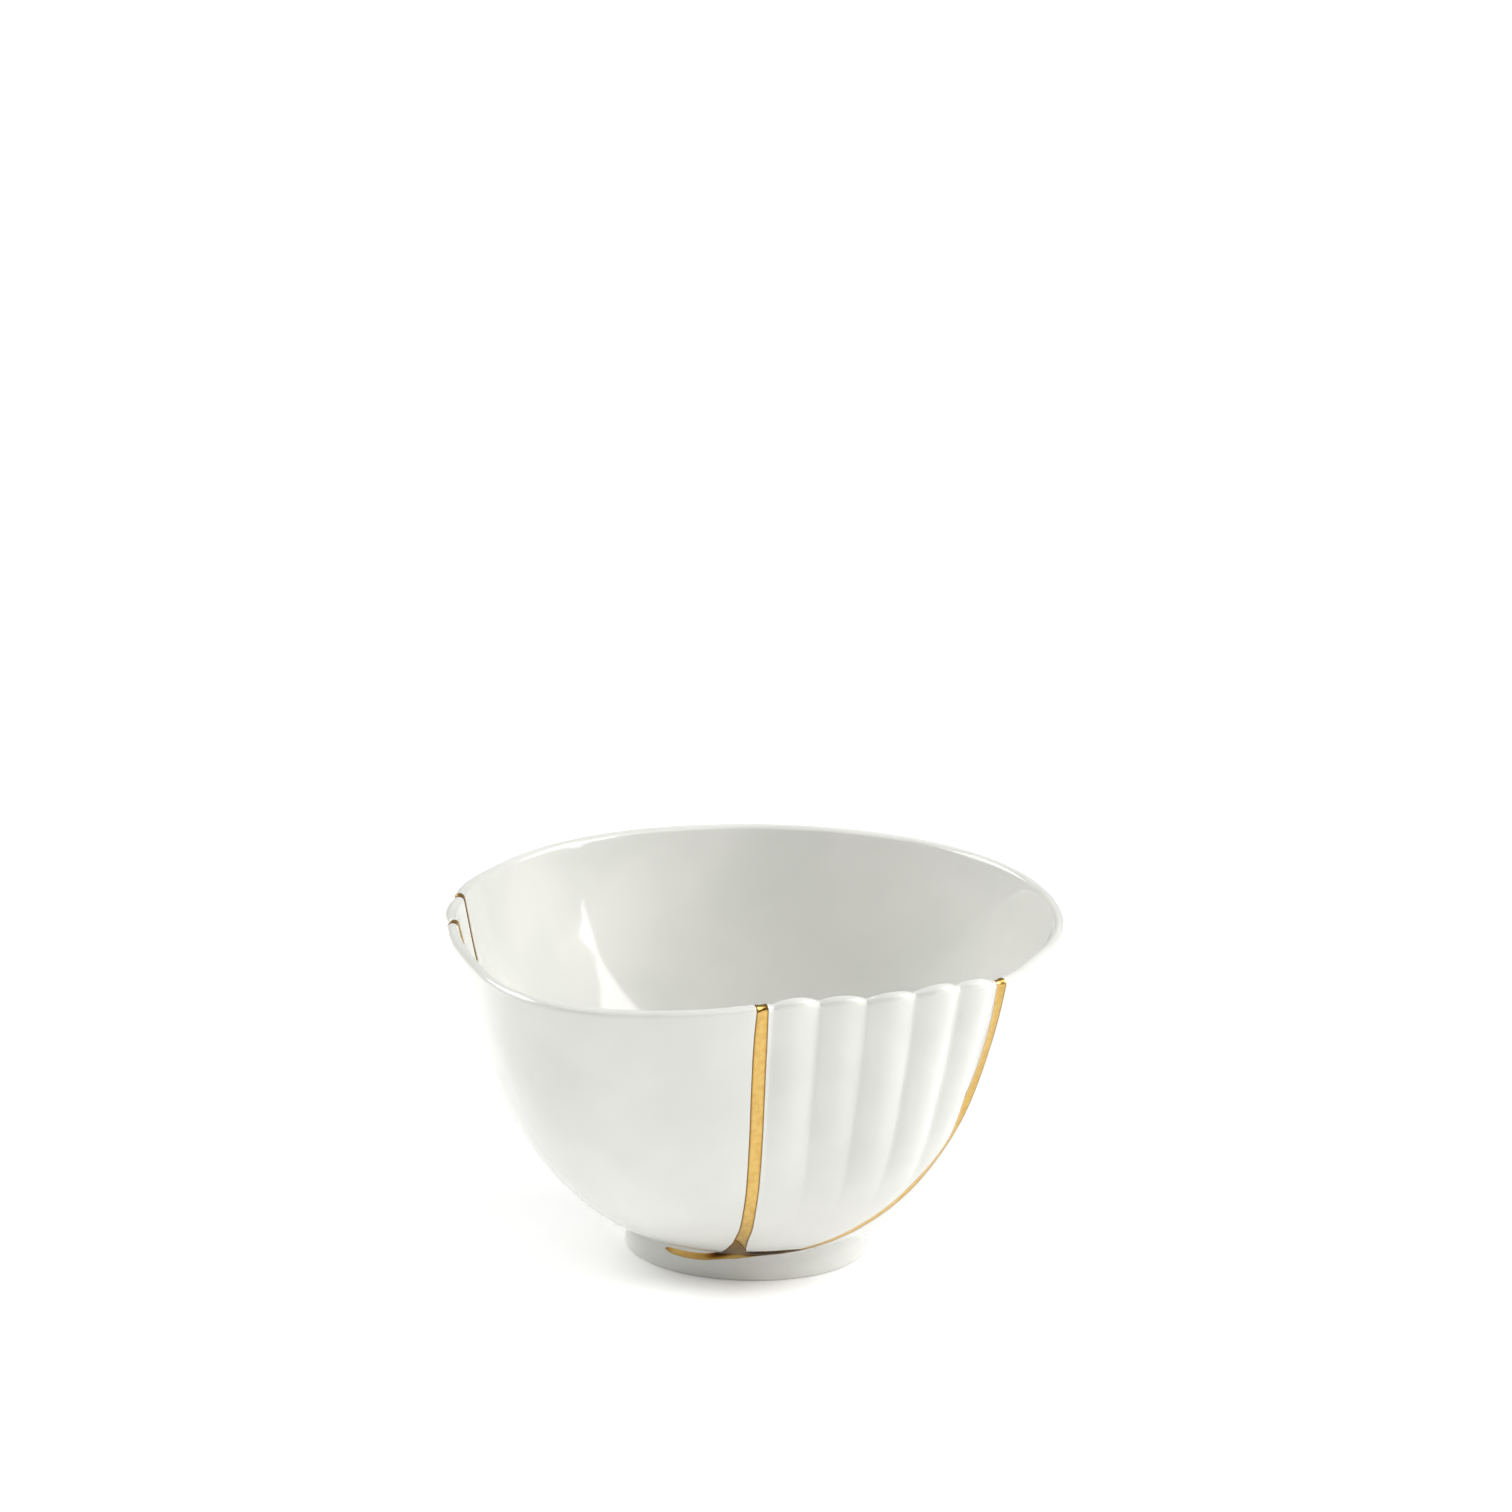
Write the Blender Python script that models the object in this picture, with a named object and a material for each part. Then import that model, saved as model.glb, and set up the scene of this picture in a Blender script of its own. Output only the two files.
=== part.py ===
"""Footed porcelain salad bowl mended with gold seams.

A plain bowl on a low foot ring carries two foreign shards, a wide fluted one
at the front right and a narrow lobed one at the left rim. Each shard is held
in its opening by one gold seam. +Z is up and the foot stands on Z = 0.
"""
import math

import bmesh
import bpy
from mathutils import Vector

MM = 0.001

# Foot ring
FOOT_HEIGHT = 8.8 * MM
FOOT_RADIUS = 37.0 * MM
FOOT_SHIFT = 0.7 * MM
FOOT_FLARE = 0.5 * MM
FOOT_EDGE = 0.9 * MM
RING_TREAD = 2.4 * MM
RING_DRAFT = 1.6 * MM
RECESS_DEPTH = 7.2 * MM
CREASE_UNDER = 0.8 * MM
CREASE_OVER = 0.35 * MM

# Wall
WALL = 3.7 * MM
RIM_TOP = 105.8 * MM
SPRING = RIM_TOP - 0.68 * WALL
FLOOR_TOP = 11.6 * MM
FLOOR_RISE = 0.6 * MM

# Belly curve from the foot crease up to the rim
QUICK_SHARE = 0.25
QUICK_POWER = 5.13
SLOW_POWER = 0.675
LEAN = 0.0231

# Rim plan, a circle with four soft swells given as azimuth, amount and half width
RIM_RADIUS = 95.0 * MM
RIM_SWELLS = (
    (-125.0, 15.5 * MM, 23.4),
    (-74.8, -8.5 * MM, 19.0),
    (49.1, 4.7 * MM, 37.4),
    (163.0, -2.9 * MM, 26.0),
    (164.0, 1.7 * MM, 10.0),
    (198.0, 0.8 * MM, 11.0),
    (-20.0, -1.0 * MM, 11.0),
)

# Soft rises of the rim over the shards, as azimuth, amount and half width
RIM_RISES = (
    (-82.0, 0.9 * MM, 12.0),
    (-50.0, 2.2 * MM, 13.0),
    (-34.0, -1.1 * MM, 8.0),
)
RISE_DEPTH = 34.0 * MM

# Foot axis in plan, measured from the middle of the bowl's outline
AXIS = Vector((-0.79 * MM, 1.08 * MM, 0.0))

# Fits
GAP = 0.3 * MM
PROUD = 0.45 * MM
SIDE_PROUD = -0.5 * MM
CUT_OVER = 6.0 * MM

# Seams as centre lines of height and azimuth in degrees, with the band's width
SEAM_LEFT = (
    (9.5 * MM, -92.6, 4.2 * MM),
    (12.0 * MM, -92.0, 4.2 * MM),
    (17.8 * MM, -90.9, 4.2 * MM),
    (22.7 * MM, -89.5, 4.0 * MM),
    (31.5 * MM, -88.6, 3.9 * MM),
    (40.0 * MM, -88.1, 4.0 * MM),
    (58.0 * MM, -87.8, 4.3 * MM),
    (80.0 * MM, -87.8, 4.4 * MM),
    (94.0 * MM, -87.7, 4.3 * MM),
    (106.0 * MM, -87.5, 3.5 * MM),
)
SEAM_RIGHT = (
    (9.5 * MM, -68.0, 3.2 * MM),
    (11.1 * MM, -62.5, 3.2 * MM),
    (14.4 * MM, -55.2, 3.2 * MM),
    (18.8 * MM, -49.3, 3.3 * MM),
    (26.9 * MM, -42.0, 3.4 * MM),
    (36.5 * MM, -37.1, 3.4 * MM),
    (52.1 * MM, -32.5, 3.4 * MM),
    (64.7 * MM, -31.8, 3.3 * MM),
    (86.0 * MM, -33.6, 3.2 * MM),
    (106.0 * MM, -36.4, 3.1 * MM),
)
SEAM_BACK = (
    (60.0 * MM, 177.3, 3.0 * MM),
    (75.0 * MM, 175.5, 3.0 * MM),
    (89.4 * MM, 173.3, 3.0 * MM),
    (98.0 * MM, 171.8, 3.0 * MM),
    (106.0 * MM, 170.6, 3.0 * MM),
)
SEAM_NEAR = (
    (60.0 * MM, 181.6, 3.0 * MM),
    (75.0 * MM, 184.6, 3.0 * MM),
    (89.4 * MM, 186.8, 3.0 * MM),
    (98.0 * MM, 187.4, 3.0 * MM),
    (106.0 * MM, 187.6, 3.0 * MM),
)
FRONT_FOOT = 9.6 * MM
FRONT_INNER_FOOT = 11.3 * MM
SIDE_FOOT = 62.0 * MM
SIDE_INNER_FOOT = 66.5 * MM

# Flutes of the front shard
FLUTE_COUNT = 5
FLUTE_START = -85.1
FLUTE_PITCH = 9.5
FLUTE_FAN = 0.235
FLUTE_RISE = 2.4 * MM
FLUTE_FADE = (24.0 * MM, 72.0 * MM)
ARCH_RISE = 2.1 * MM
INNER_SHARE = 0.5

# Single lobe of the side shard
LOBE_RISE = 1.8 * MM
LOBE_SINK = 0.35
LOBE_FADE = (64.0 * MM, 98.0 * MM)

# Gold tail over the crease and the ring, as azimuth, lower edge and upper edge
TAIL = (
    (-64.0, 8.9 * MM, 10.1 * MM),
    (-68.0, 8.3 * MM, 10.2 * MM),
    (-75.0, 7.9 * MM, 10.2 * MM),
    (-82.0, 7.4 * MM, 10.2 * MM),
    (-88.4, 6.8 * MM, 11.0 * MM),
    (-91.0, 6.6 * MM, 15.5 * MM),
    (-92.8, 6.4 * MM, 18.0 * MM),
    (-94.5, 6.3 * MM, 16.0 * MM),
    (-97.3, 6.15 * MM, 12.6 * MM),
    (-100.0, 6.0 * MM, 10.4 * MM),
    (-103.0, 5.8 * MM, 8.8 * MM),
    (-107.0, 5.5 * MM, 7.8 * MM),
    (-112.0, 5.25 * MM, 7.4 * MM),
    (-118.0, 5.1 * MM, 7.2 * MM),
    (-125.0, 5.25 * MM, 7.2 * MM),
    (-130.5, 5.55 * MM, 7.1 * MM),
    (-134.0, 6.0 * MM, 6.8 * MM),
)
TAIL_THICK = 0.5 * MM

# Facets
TURNS = 72
RIM_STEPS = 5
SMOOTH_ANGLE = math.radians(38.0)

PORCELAIN = ((0.88, 0.88, 0.86, 1.0), 0.0, 0.12)
GOLD = ((0.78, 0.52, 0.17, 1.0), 1.0, 0.28)


def smooth_ramp(low, high, value):
    """Rises from 0 at low to 1 at high without a corner."""
    share = min(1.0, max(0.0, (value - low) / (high - low)))
    return share * share * (3.0 - 2.0 * share)


def through(keys, values, key):
    """Smooth curve through values that belong to rising keys."""
    index = 0
    while index < len(keys) - 2 and key > keys[index + 1]:
        index += 1

    def slope(place):
        low = max(0, place - 1)
        high = min(len(keys) - 1, place + 1)
        return (values[high] - values[low]) / (keys[high] - keys[low])

    span = keys[index + 1] - keys[index]
    part = (key - keys[index]) / span
    start = values[index] * (1.0 + 2.0 * part) * (1.0 - part) ** 2
    end = values[index + 1] * part * part * (3.0 - 2.0 * part)
    leave = slope(index) * span * part * (1.0 - part) ** 2
    arrive = slope(index + 1) * span * part * part * (part - 1.0)
    return start + end + leave + arrive


def along(stations, height):
    """Azimuth in radians and band width of a centre line at a height."""
    tops = [station[0] for station in stations]
    height = min(SPRING, max(tops[0], height))
    turn = through(tops, [station[1] for station in stations], height)
    width = through(tops, [station[2] for station in stations], height)
    return math.radians(turn), width


def swell_sum(swells, azimuth):
    """Sum of soft swells in one direction."""
    total = 0.0
    for centre, amount, width in swells:
        away = (math.degrees(azimuth) - centre + 180.0) % 360.0 - 180.0
        total += amount * math.exp(-((away / width) ** 2))
    return total


def foot_radius(azimuth):
    """Radius of the crease over the foot ring in one direction."""
    return FOOT_RADIUS + FOOT_SHIFT * math.cos(azimuth)


def wall_radius(azimuth, height):
    """Outer radius of the plain wall between the crease and the rim."""
    climb = min(1.0, max(0.0, (height - FOOT_HEIGHT) / (SPRING - FOOT_HEIGHT)))
    share = QUICK_SHARE * (1.0 - (1.0 - climb) ** QUICK_POWER)
    share += (1.0 - QUICK_SHARE) * climb ** SLOW_POWER
    share -= LEAN * math.cos(azimuth) * 4.0 * climb * (1.0 - climb)
    rim = RIM_RADIUS + swell_sum(RIM_SWELLS, azimuth)
    return foot_radius(azimuth) + (rim - foot_radius(azimuth)) * share


def wall_place(azimuth, height):
    """Point on the outer skin of the plain wall."""
    radius = wall_radius(azimuth, height)
    rise = swell_sum(RIM_RISES, azimuth) * smooth_ramp(SPRING - RISE_DEPTH, SPRING, height)
    return Vector((radius * math.cos(azimuth), radius * math.sin(azimuth), height + rise))


def wall_frame(azimuth, height):
    """Point, outward direction and upward direction on the plain wall.

    Above the springing of the rim the wall carries straight on.
    """
    base = min(SPRING, max(FOOT_HEIGHT + 0.4 * MM, height))
    turn = math.radians(0.4)
    rise = 0.3 * MM
    low = max(FOOT_HEIGHT + 0.1 * MM, base - rise)
    high = min(SPRING, base + rise)
    side = wall_place(azimuth + turn, base) - wall_place(azimuth - turn, base)
    upward = (wall_place(azimuth, high) - wall_place(azimuth, low)).normalized()
    outward = side.cross(upward).normalized()
    place = wall_place(azimuth, base)
    if height > SPRING:
        place = place + upward * (height - SPRING)
    return place, outward, upward


def band_edge(stations, trim, side, height):
    """Azimuth of one edge of a band, narrowed by a trim at each side."""
    step = 0.6 * MM
    azimuth, width = along(stations, height)
    turn = along(stations, height + step)[0] - along(stations, height - step)[0]
    low = wall_place(azimuth, max(FOOT_HEIGHT + 0.2 * MM, min(SPRING, height) - step))
    high = wall_place(azimuth, min(SPRING, height + step))
    slant = (high - low).length / max(high.z - low.z, 0.1 * MM)
    radius = wall_radius(azimuth, height)
    lateral = radius * turn / (2.0 * step)
    half = 0.5 * width - trim
    return azimuth + side * half * math.hypot(lateral, slant) / (slant * radius)


class Stretch:
    """Part of the wall between two edges, open at the rim."""

    def __init__(self, left, right, side, foot, trim=0.0):
        self.left = left
        self.right = right
        self.side = side
        self.foot = foot
        self.trim = trim

    def edges(self, height):
        """Both edge azimuths, where side is +1 outside the seams and -1 inside."""
        left = band_edge(self.left, self.trim, -self.side, height)
        right = band_edge(self.right, self.trim, self.side, height)
        return left, right

    def azimuth(self, share, height):
        """Azimuth at a share of the way from the left edge to the right edge."""
        left, right = self.edges(height)
        return left + (right - left) * share


def window(left, right, foot):
    """Opening in the body around a shard and its seam."""
    return Stretch(left, right, 1.0, foot)


def outer_bound(left, right, foot):
    """Outer edge of a gold seam, clear of the opening by the gap."""
    return Stretch(left, right, 1.0, foot + GAP, GAP)


def inner_bound(left, right, foot):
    """Inner edge of a gold seam, clear of the shard by the gap."""
    return Stretch(left, right, -1.0, foot - GAP, GAP)


def shard_bound(left, right, foot):
    """Outline of a shard."""
    return Stretch(left, right, -1.0, foot)


def new_object(name, builder, finish=None, hidden=False):
    """Turns a bmesh into a named object, with a finish or as a hidden guide."""
    bmesh.ops.remove_doubles(builder, verts=builder.verts, dist=0.00001)
    bmesh.ops.recalc_face_normals(builder, faces=builder.faces)
    for vertex in builder.verts:
        vertex.co += AXIS
    mesh = bpy.data.meshes.new(name)
    builder.to_mesh(mesh)
    builder.free()
    mesh.shade_smooth()
    mesh.set_sharp_from_angle(angle=SMOOTH_ANGLE)
    piece = bpy.data.objects.new(name, mesh)
    bpy.context.scene.collection.objects.link(piece)
    if finish is not None:
        mesh.materials.append(finish_material(name + "_finish", finish))
    if hidden:
        piece.hide_render = True
        piece.display_type = "WIRE"
    return piece


def finish_material(name, finish):
    """Principled material from a colour, a metal share and a roughness."""
    colour, metal, rough = finish
    material = bpy.data.materials.new(name)
    material.use_nodes = True
    shader = material.node_tree.nodes["Principled BSDF"]
    shader.inputs["Base Color"].default_value = colour
    shader.inputs["Metallic"].default_value = metal
    shader.inputs["Roughness"].default_value = rough
    return material


def add_boolean(piece, other, operation):
    """Joins or cuts one piece with another."""
    modifier = piece.modifiers.new(operation.title() + "_" + other.name, "BOOLEAN")
    modifier.operation = operation
    modifier.solver = "EXACT"
    modifier.object = other


def rim_round(outer, inner, upward):
    """Half round over the wall from the outer skin to the inner skin."""
    centre = (outer + inner) / 2.0
    across = (outer - inner) / 2.0
    places = []
    for step in range(1, RIM_STEPS):
        angle = math.pi * step / RIM_STEPS
        rise = upward * across.length * math.sin(angle)
        places.append(centre + across * math.cos(angle) + rise)
    return places


def body_section(azimuth):
    """Section of the plain body in one direction, from under the foot to the floor."""
    ring_foot = foot_radius(azimuth) + FOOT_FLARE
    tread_inner = ring_foot - FOOT_EDGE - RING_TREAD
    flat = [
        (0.55 * tread_inner, RECESS_DEPTH),
        (tread_inner - RING_DRAFT - 1.2 * MM, RECESS_DEPTH),
        (tread_inner - RING_DRAFT, RECESS_DEPTH - 1.2 * MM),
        (tread_inner - 0.5 * MM, 0.5 * MM),
        (tread_inner, 0.0),
        (ring_foot - FOOT_EDGE, 0.0),
        (ring_foot - 0.25 * FOOT_EDGE, 0.3 * FOOT_EDGE),
        (ring_foot, FOOT_EDGE),
        (foot_radius(azimuth), FOOT_HEIGHT - CREASE_UNDER),
    ]
    direction = Vector((math.cos(azimuth), math.sin(azimuth), 0.0))
    places = [direction * radius + Vector((0.0, 0.0, height)) for radius, height in flat]
    heights = wall_heights(FOOT_HEIGHT + CREASE_OVER, SPRING, 11, 1.7)
    inner = []
    for height in heights:
        place, outward, upward = wall_frame(azimuth, height)
        places.append(place)
        if height > FOOT_HEIGHT + 1.2 * MM:
            inner.append(place - outward * WALL)
    places += rim_round(place, inner[-1], upward)
    places += reversed(inner)
    for share in (0.86, 0.5, 0.2):
        radius = inner[0].xy.length * share
        lift = FLOOR_TOP + FLOOR_RISE * share * share
        places.append(direction * radius + Vector((0.0, 0.0, lift)))
    return places


def wall_heights(low, high, steps, power):
    """Heights that crowd towards the foot, where the wall turns fastest."""
    span = high - low
    return [low + span * (step / steps) ** power for step in range(steps + 1)]


def make_body():
    """Plain bowl with its foot ring, hollow and open."""
    builder = bmesh.new()
    columns = []
    for turn in range(TURNS):
        azimuth = 2.0 * math.pi * turn / TURNS
        columns.append([builder.verts.new(place) for place in body_section(azimuth)])
    under = builder.verts.new((0.0, 0.0, RECESS_DEPTH))
    floor = builder.verts.new((0.0, 0.0, FLOOR_TOP))
    for turn in range(TURNS):
        here = columns[turn]
        there = columns[(turn + 1) % TURNS]
        for row in range(len(here) - 1):
            builder.faces.new((here[row], there[row], there[row + 1], here[row + 1]))
        builder.faces.new((under, there[0], here[0]))
        builder.faces.new((floor, here[-1], there[-1]))
    return new_object("bowl_body", builder, PORCELAIN)


def closed_sheet(builder, columns):
    """Skins a row of columns that each run up one face and down the other."""
    count = len(columns[0])
    for here, there in zip(columns, columns[1:]):
        for row in range(count - 1):
            builder.faces.new((here[row], there[row], there[row + 1], here[row + 1]))
        builder.faces.new((here[-1], there[-1], there[0], here[0]))
    for column in (columns[0], columns[-1]):
        for row in range(count // 2):
            last = count - 1 - row
            corners = [column[row], column[row + 1], column[last - 1], column[last]]
            if row + 1 == last - 1:
                corners.pop(1)
            if row + 1 < last:
                builder.faces.new(corners)


def make_cutter(name, stretch):
    """Thick slab that follows the wall and clears one opening."""
    builder = bmesh.new()
    heights = wall_heights(stretch.foot, SPRING + CUT_OVER, 26, 1.35)
    columns = []
    steps = 20
    for step in range(steps + 1):
        outer = []
        inner = []
        for height in heights:
            azimuth = stretch.azimuth(step / steps, height)
            place, outward, upward = wall_frame(azimuth, height)
            outer.append(builder.verts.new(place + outward * 3.0 * MM))
            inner.append(builder.verts.new(place - outward * (WALL + 2.5 * MM)))
        columns.append(outer + inner[::-1])
    closed_sheet(builder, columns)
    return new_object(name, builder, hidden=True)


def flute_phase(azimuth, height):
    """Place across the flutes, whole numbers at the grooves."""
    fan = 1.0 + FLUTE_FAN * (1.0 - height / RIM_TOP)
    return (math.degrees(azimuth) - FLUTE_START) / (FLUTE_PITCH * fan)


def lobe(phase):
    """Round back of one lobe, 0 at its grooves and 1 at its crown."""
    share = phase - math.floor(phase)
    return 1.0 - (2.0 * share - 1.0) ** 2


def fluted_relief(azimuth, height, share):
    """Outward shift of the fluted shard's outer skin and the lift of its rim."""
    crown = lobe(flute_phase(azimuth, height))
    strength = smooth_ramp(FLUTE_FADE[0], FLUTE_FADE[1], height)
    shift = FLUTE_RISE * (crown - 0.5) * strength
    return shift, ARCH_RISE * (lobe(flute_phase(azimuth, RIM_TOP)) - 0.5)


def lobed_relief(azimuth, height, share):
    """Outward shift of the side shard's outer skin and the lift of its rim."""
    strength = smooth_ramp(LOBE_FADE[0], LOBE_FADE[1], height)
    shift = LOBE_RISE * (lobe(share * 0.998 + 0.001) - LOBE_SINK) * strength
    return shift, 0.0


def make_shard(name, stretch, relief, steps, rows):
    """Shard of wall with its own relief on both faces and a rounded rim."""
    builder = bmesh.new()
    heights = wall_heights(stretch.foot, SPRING, rows, 1.2)
    columns = []
    for step in range(steps + 1):
        share = step / steps
        lift = relief(stretch.azimuth(share, SPRING), SPRING, share)[1]
        outer = []
        inner = []
        for height in heights:
            azimuth = stretch.azimuth(share, height)
            raised = height + lift * smooth_ramp(SPRING - 12.0 * MM, SPRING, height)
            place, outward, upward = wall_frame(azimuth, raised)
            shift = relief(azimuth, height, share)[0]
            outer.append(place + outward * shift)
            inner.append(place + outward * (shift * INNER_SHARE - WALL))
        crest = rim_round(outer[-1], inner[-1], upward)
        path = outer + crest + inner[::-1]
        columns.append([builder.verts.new(place) for place in path])
    closed_sheet(builder, columns)
    return new_object(name, builder, PORCELAIN)


def seam_pairs(outer, inner, leg, sole):
    """Matched heights and azimuths down one leg, under the shard and up again."""
    pairs = []
    for step in range(leg):
        share = 1.0 - step / leg
        high = SPRING + (outer.foot - SPRING) * (1.0 - share ** 1.35)
        low = SPRING + (inner.foot - SPRING) * (1.0 - share ** 1.35)
        pairs.append(((outer.edges(high)[0], high), (inner.edges(low)[0], low)))
    mirrored = []
    for (_, high), (_, low) in pairs:
        mirrored.append(((outer.edges(high)[1], high), (inner.edges(low)[1], low)))
    for step in range(sole + 1):
        share = step / sole
        under = (outer.azimuth(share, outer.foot), outer.foot)
        over = (inner.azimuth(share, inner.foot), inner.foot)
        pairs.append((under, over))
    return pairs + mirrored[::-1]


def make_seam(name, outer, inner, proud, leg, sole):
    """Gold band through the wall and over the rim, standing proud by an amount."""
    builder = bmesh.new()
    lanes = 2
    outside = []
    inside = []
    crest = {}
    pairs = seam_pairs(outer, inner, leg, sole)
    for index, (first, second) in enumerate(pairs):
        face = []
        back = []
        for lane in range(lanes + 1):
            share = lane / lanes
            azimuth = first[0] + (second[0] - first[0]) * share
            height = first[1] + (second[1] - first[1]) * share
            place, outward, upward = wall_frame(azimuth, height)
            swell = proud * (0.8 if lane in (0, lanes) else 1.0)
            high = place + outward * swell
            deep = place - outward * (WALL + swell)
            face.append(builder.verts.new(high))
            back.append(builder.verts.new(deep))
            if index in (0, len(pairs) - 1):
                arch = rim_round(high, deep, upward)
                crest[(index, lane)] = [builder.verts.new(spot) for spot in arch]
        outside.append(face)
        inside.append(back)
    for index in range(len(pairs) - 1):
        for lane in range(lanes):
            for sheet in (outside, inside):
                here = sheet[index]
                there = sheet[index + 1]
                corners = (here[lane], here[lane + 1], there[lane + 1], there[lane])
                builder.faces.new(corners)
        for lane in (0, lanes):
            edge = (outside[index][lane], outside[index + 1][lane])
            builder.faces.new(edge + (inside[index + 1][lane], inside[index][lane]))
    for index in (0, len(pairs) - 1):
        arcs = []
        for lane in range(lanes + 1):
            ends = (outside[index][lane], inside[index][lane])
            arcs.append([ends[0]] + crest[(index, lane)] + [ends[1]])
        for here, there in zip(arcs, arcs[1:]):
            for row in range(RIM_STEPS):
                builder.faces.new((here[row], there[row], there[row + 1], here[row + 1]))
        builder.faces.new(arcs[0])
        builder.faces.new(arcs[-1])
    return new_object(name, builder, GOLD)


def skirt(azimuth, height):
    """Point and outward direction on the ring, the chamfered crease or the wall."""
    direction = Vector((math.cos(azimuth), math.sin(azimuth), 0.0))
    low = FOOT_HEIGHT - CREASE_UNDER
    high = FOOT_HEIGHT + CREASE_OVER
    wall_side = wall_frame(azimuth, high + CREASE_OVER)[1]
    tilt = smooth_ramp(low, high, height)
    if height >= high:
        place = wall_place(azimuth, height)
    elif height > low:
        share = (height - low) / (high - low)
        start = direction * foot_radius(azimuth) + Vector((0.0, 0.0, low))
        place = start + (wall_place(azimuth, high) - start) * share
    else:
        flare = FOOT_FLARE * (low - height) / (low - FOOT_EDGE)
        place = direction * (foot_radius(azimuth) + flare) + Vector((0.0, 0.0, height))
    return place, (direction * (1.0 - tilt) + wall_side * tilt).normalized()


def make_tail():
    """Tapered skin of gold over the crease, which closes the seam's foot to the left."""
    builder = bmesh.new()
    keys = [-station[0] for station in TAIL]
    steps = 34
    rows = 6
    rings = []
    for step in range(steps + 1):
        key = keys[0] + (keys[-1] - keys[0]) * step / steps
        low = through(keys, [station[1] for station in TAIL], key)
        high = through(keys, [station[2] for station in TAIL], key)
        under = []
        over = []
        for row in range(rows + 1):
            place, outward = skirt(math.radians(-key), low + (high - low) * row / rows)
            under.append(place + outward * GAP)
            over.append(place + outward * (GAP + TAIL_THICK))
        rings.append([builder.verts.new(place) for place in under + over[::-1]])
    for here, there in zip(rings, rings[1:]):
        for spot in range(len(here)):
            after = (spot + 1) % len(here)
            builder.faces.new((here[spot], here[after], there[after], there[spot]))
    builder.faces.new(rings[0])
    builder.faces.new(rings[-1])
    return new_object("tail_guide", builder, hidden=True)


def clear_scene():
    """Removes whatever the file opened with."""
    for piece in list(bpy.data.objects):
        bpy.data.objects.remove(piece, do_unlink=True)


def main():
    """Builds the five pieces and their hidden guides."""
    clear_scene()
    front = (SEAM_LEFT, SEAM_RIGHT)
    side = (SEAM_BACK, SEAM_NEAR)
    body = make_body()
    add_boolean(body, make_cutter("front_opening_guide", window(*front, FRONT_FOOT)), "DIFFERENCE")
    add_boolean(body, make_cutter("side_opening_guide", window(*side, SIDE_FOOT)), "DIFFERENCE")
    fluted = shard_bound(*front, FRONT_INNER_FOOT)
    make_shard("fluted_shard", fluted, fluted_relief, 6 * FLUTE_COUNT, 10)
    lobed = shard_bound(*side, SIDE_INNER_FOOT)
    make_shard("lobed_shard", lobed, lobed_relief, 8, 8)
    edges = (outer_bound(*front, FRONT_FOOT), inner_bound(*front, FRONT_INNER_FOOT))
    seam = make_seam("gold_seam_front", *edges, PROUD, 22, 8)
    add_boolean(seam, make_tail(), "UNION")
    edges = (outer_bound(*side, SIDE_FOOT), inner_bound(*side, SIDE_INNER_FOOT))
    make_seam("gold_seam_side", *edges, SIDE_PROUD, 8, 2)


main()
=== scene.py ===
"""Looks of a white porcelain salad bowl mended with gold seams.

The plain bowl, its two foreign shards and their gold seams are drawn as fine
meshes that follow the same wall as the solids they replace. Sizes are in
metres, +Z is up and the foot stands on Z = 0.
"""

import logging
import math
from dataclasses import dataclass, field
from enum import Enum
from typing import Dict, List, NamedTuple, Optional, Sequence, Tuple

import bmesh
import bpy
from mathutils import Matrix, Vector

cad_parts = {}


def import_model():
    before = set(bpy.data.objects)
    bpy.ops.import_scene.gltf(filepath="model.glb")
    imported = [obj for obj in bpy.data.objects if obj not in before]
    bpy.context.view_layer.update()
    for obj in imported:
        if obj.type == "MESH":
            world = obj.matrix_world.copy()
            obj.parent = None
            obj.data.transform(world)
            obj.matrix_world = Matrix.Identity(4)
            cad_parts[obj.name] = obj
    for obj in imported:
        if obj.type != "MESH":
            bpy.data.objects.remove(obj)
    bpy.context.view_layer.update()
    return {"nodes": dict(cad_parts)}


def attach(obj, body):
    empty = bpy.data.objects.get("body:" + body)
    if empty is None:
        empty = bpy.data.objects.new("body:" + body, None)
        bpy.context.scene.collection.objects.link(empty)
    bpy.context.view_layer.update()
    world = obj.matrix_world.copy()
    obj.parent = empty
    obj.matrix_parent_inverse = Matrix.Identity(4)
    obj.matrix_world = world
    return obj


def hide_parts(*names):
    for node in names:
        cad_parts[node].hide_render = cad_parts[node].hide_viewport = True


LOG = logging.getLogger("salad_bowl")
MM = 0.001
# Rows whose heights differ by less than this are one row
SAME_ROW = 1e-7
# Mesh lines beside a cut edge, as shares of the width of its rounding
EDGE_SHARES = (0.2, 0.45, 0.75, 1.1)
Pair = Tuple[float, float]
Station = Tuple[float, float, float]


class Slot(Enum):
    """Names of the two material slots."""

    PORCELAIN = "porcelain"
    GOLD = "gold"


class Edge(Enum):
    """Which side of its seam an outline keeps to."""

    OUTSIDE = 1.0
    INSIDE = -1.0


class Stretch(Enum):
    """Stretch of the body's mesh around the bowl, beside or under an opening."""

    RIGHT = "right"
    UNDER_SIDE = "under_side"
    LEFT = "left"
    UNDER_FRONT = "under_front"


def linear(code: str) -> Tuple[float, float, float, float]:
    """Turns an sRGB hex colour into linear values.

    Args:
        code: Six hex digits after a hash mark.

    Returns:
        Red, green, blue and a full alpha.
    """
    parts = [int(code[start:start + 2], 16) / 255.0 for start in (1, 3, 5)]
    curved = [part / 12.92 if part <= 0.04045 else ((part + 0.055) / 1.055) ** 2.4 for part in parts]
    return curved[0], curved[1], curved[2], 1.0


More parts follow.
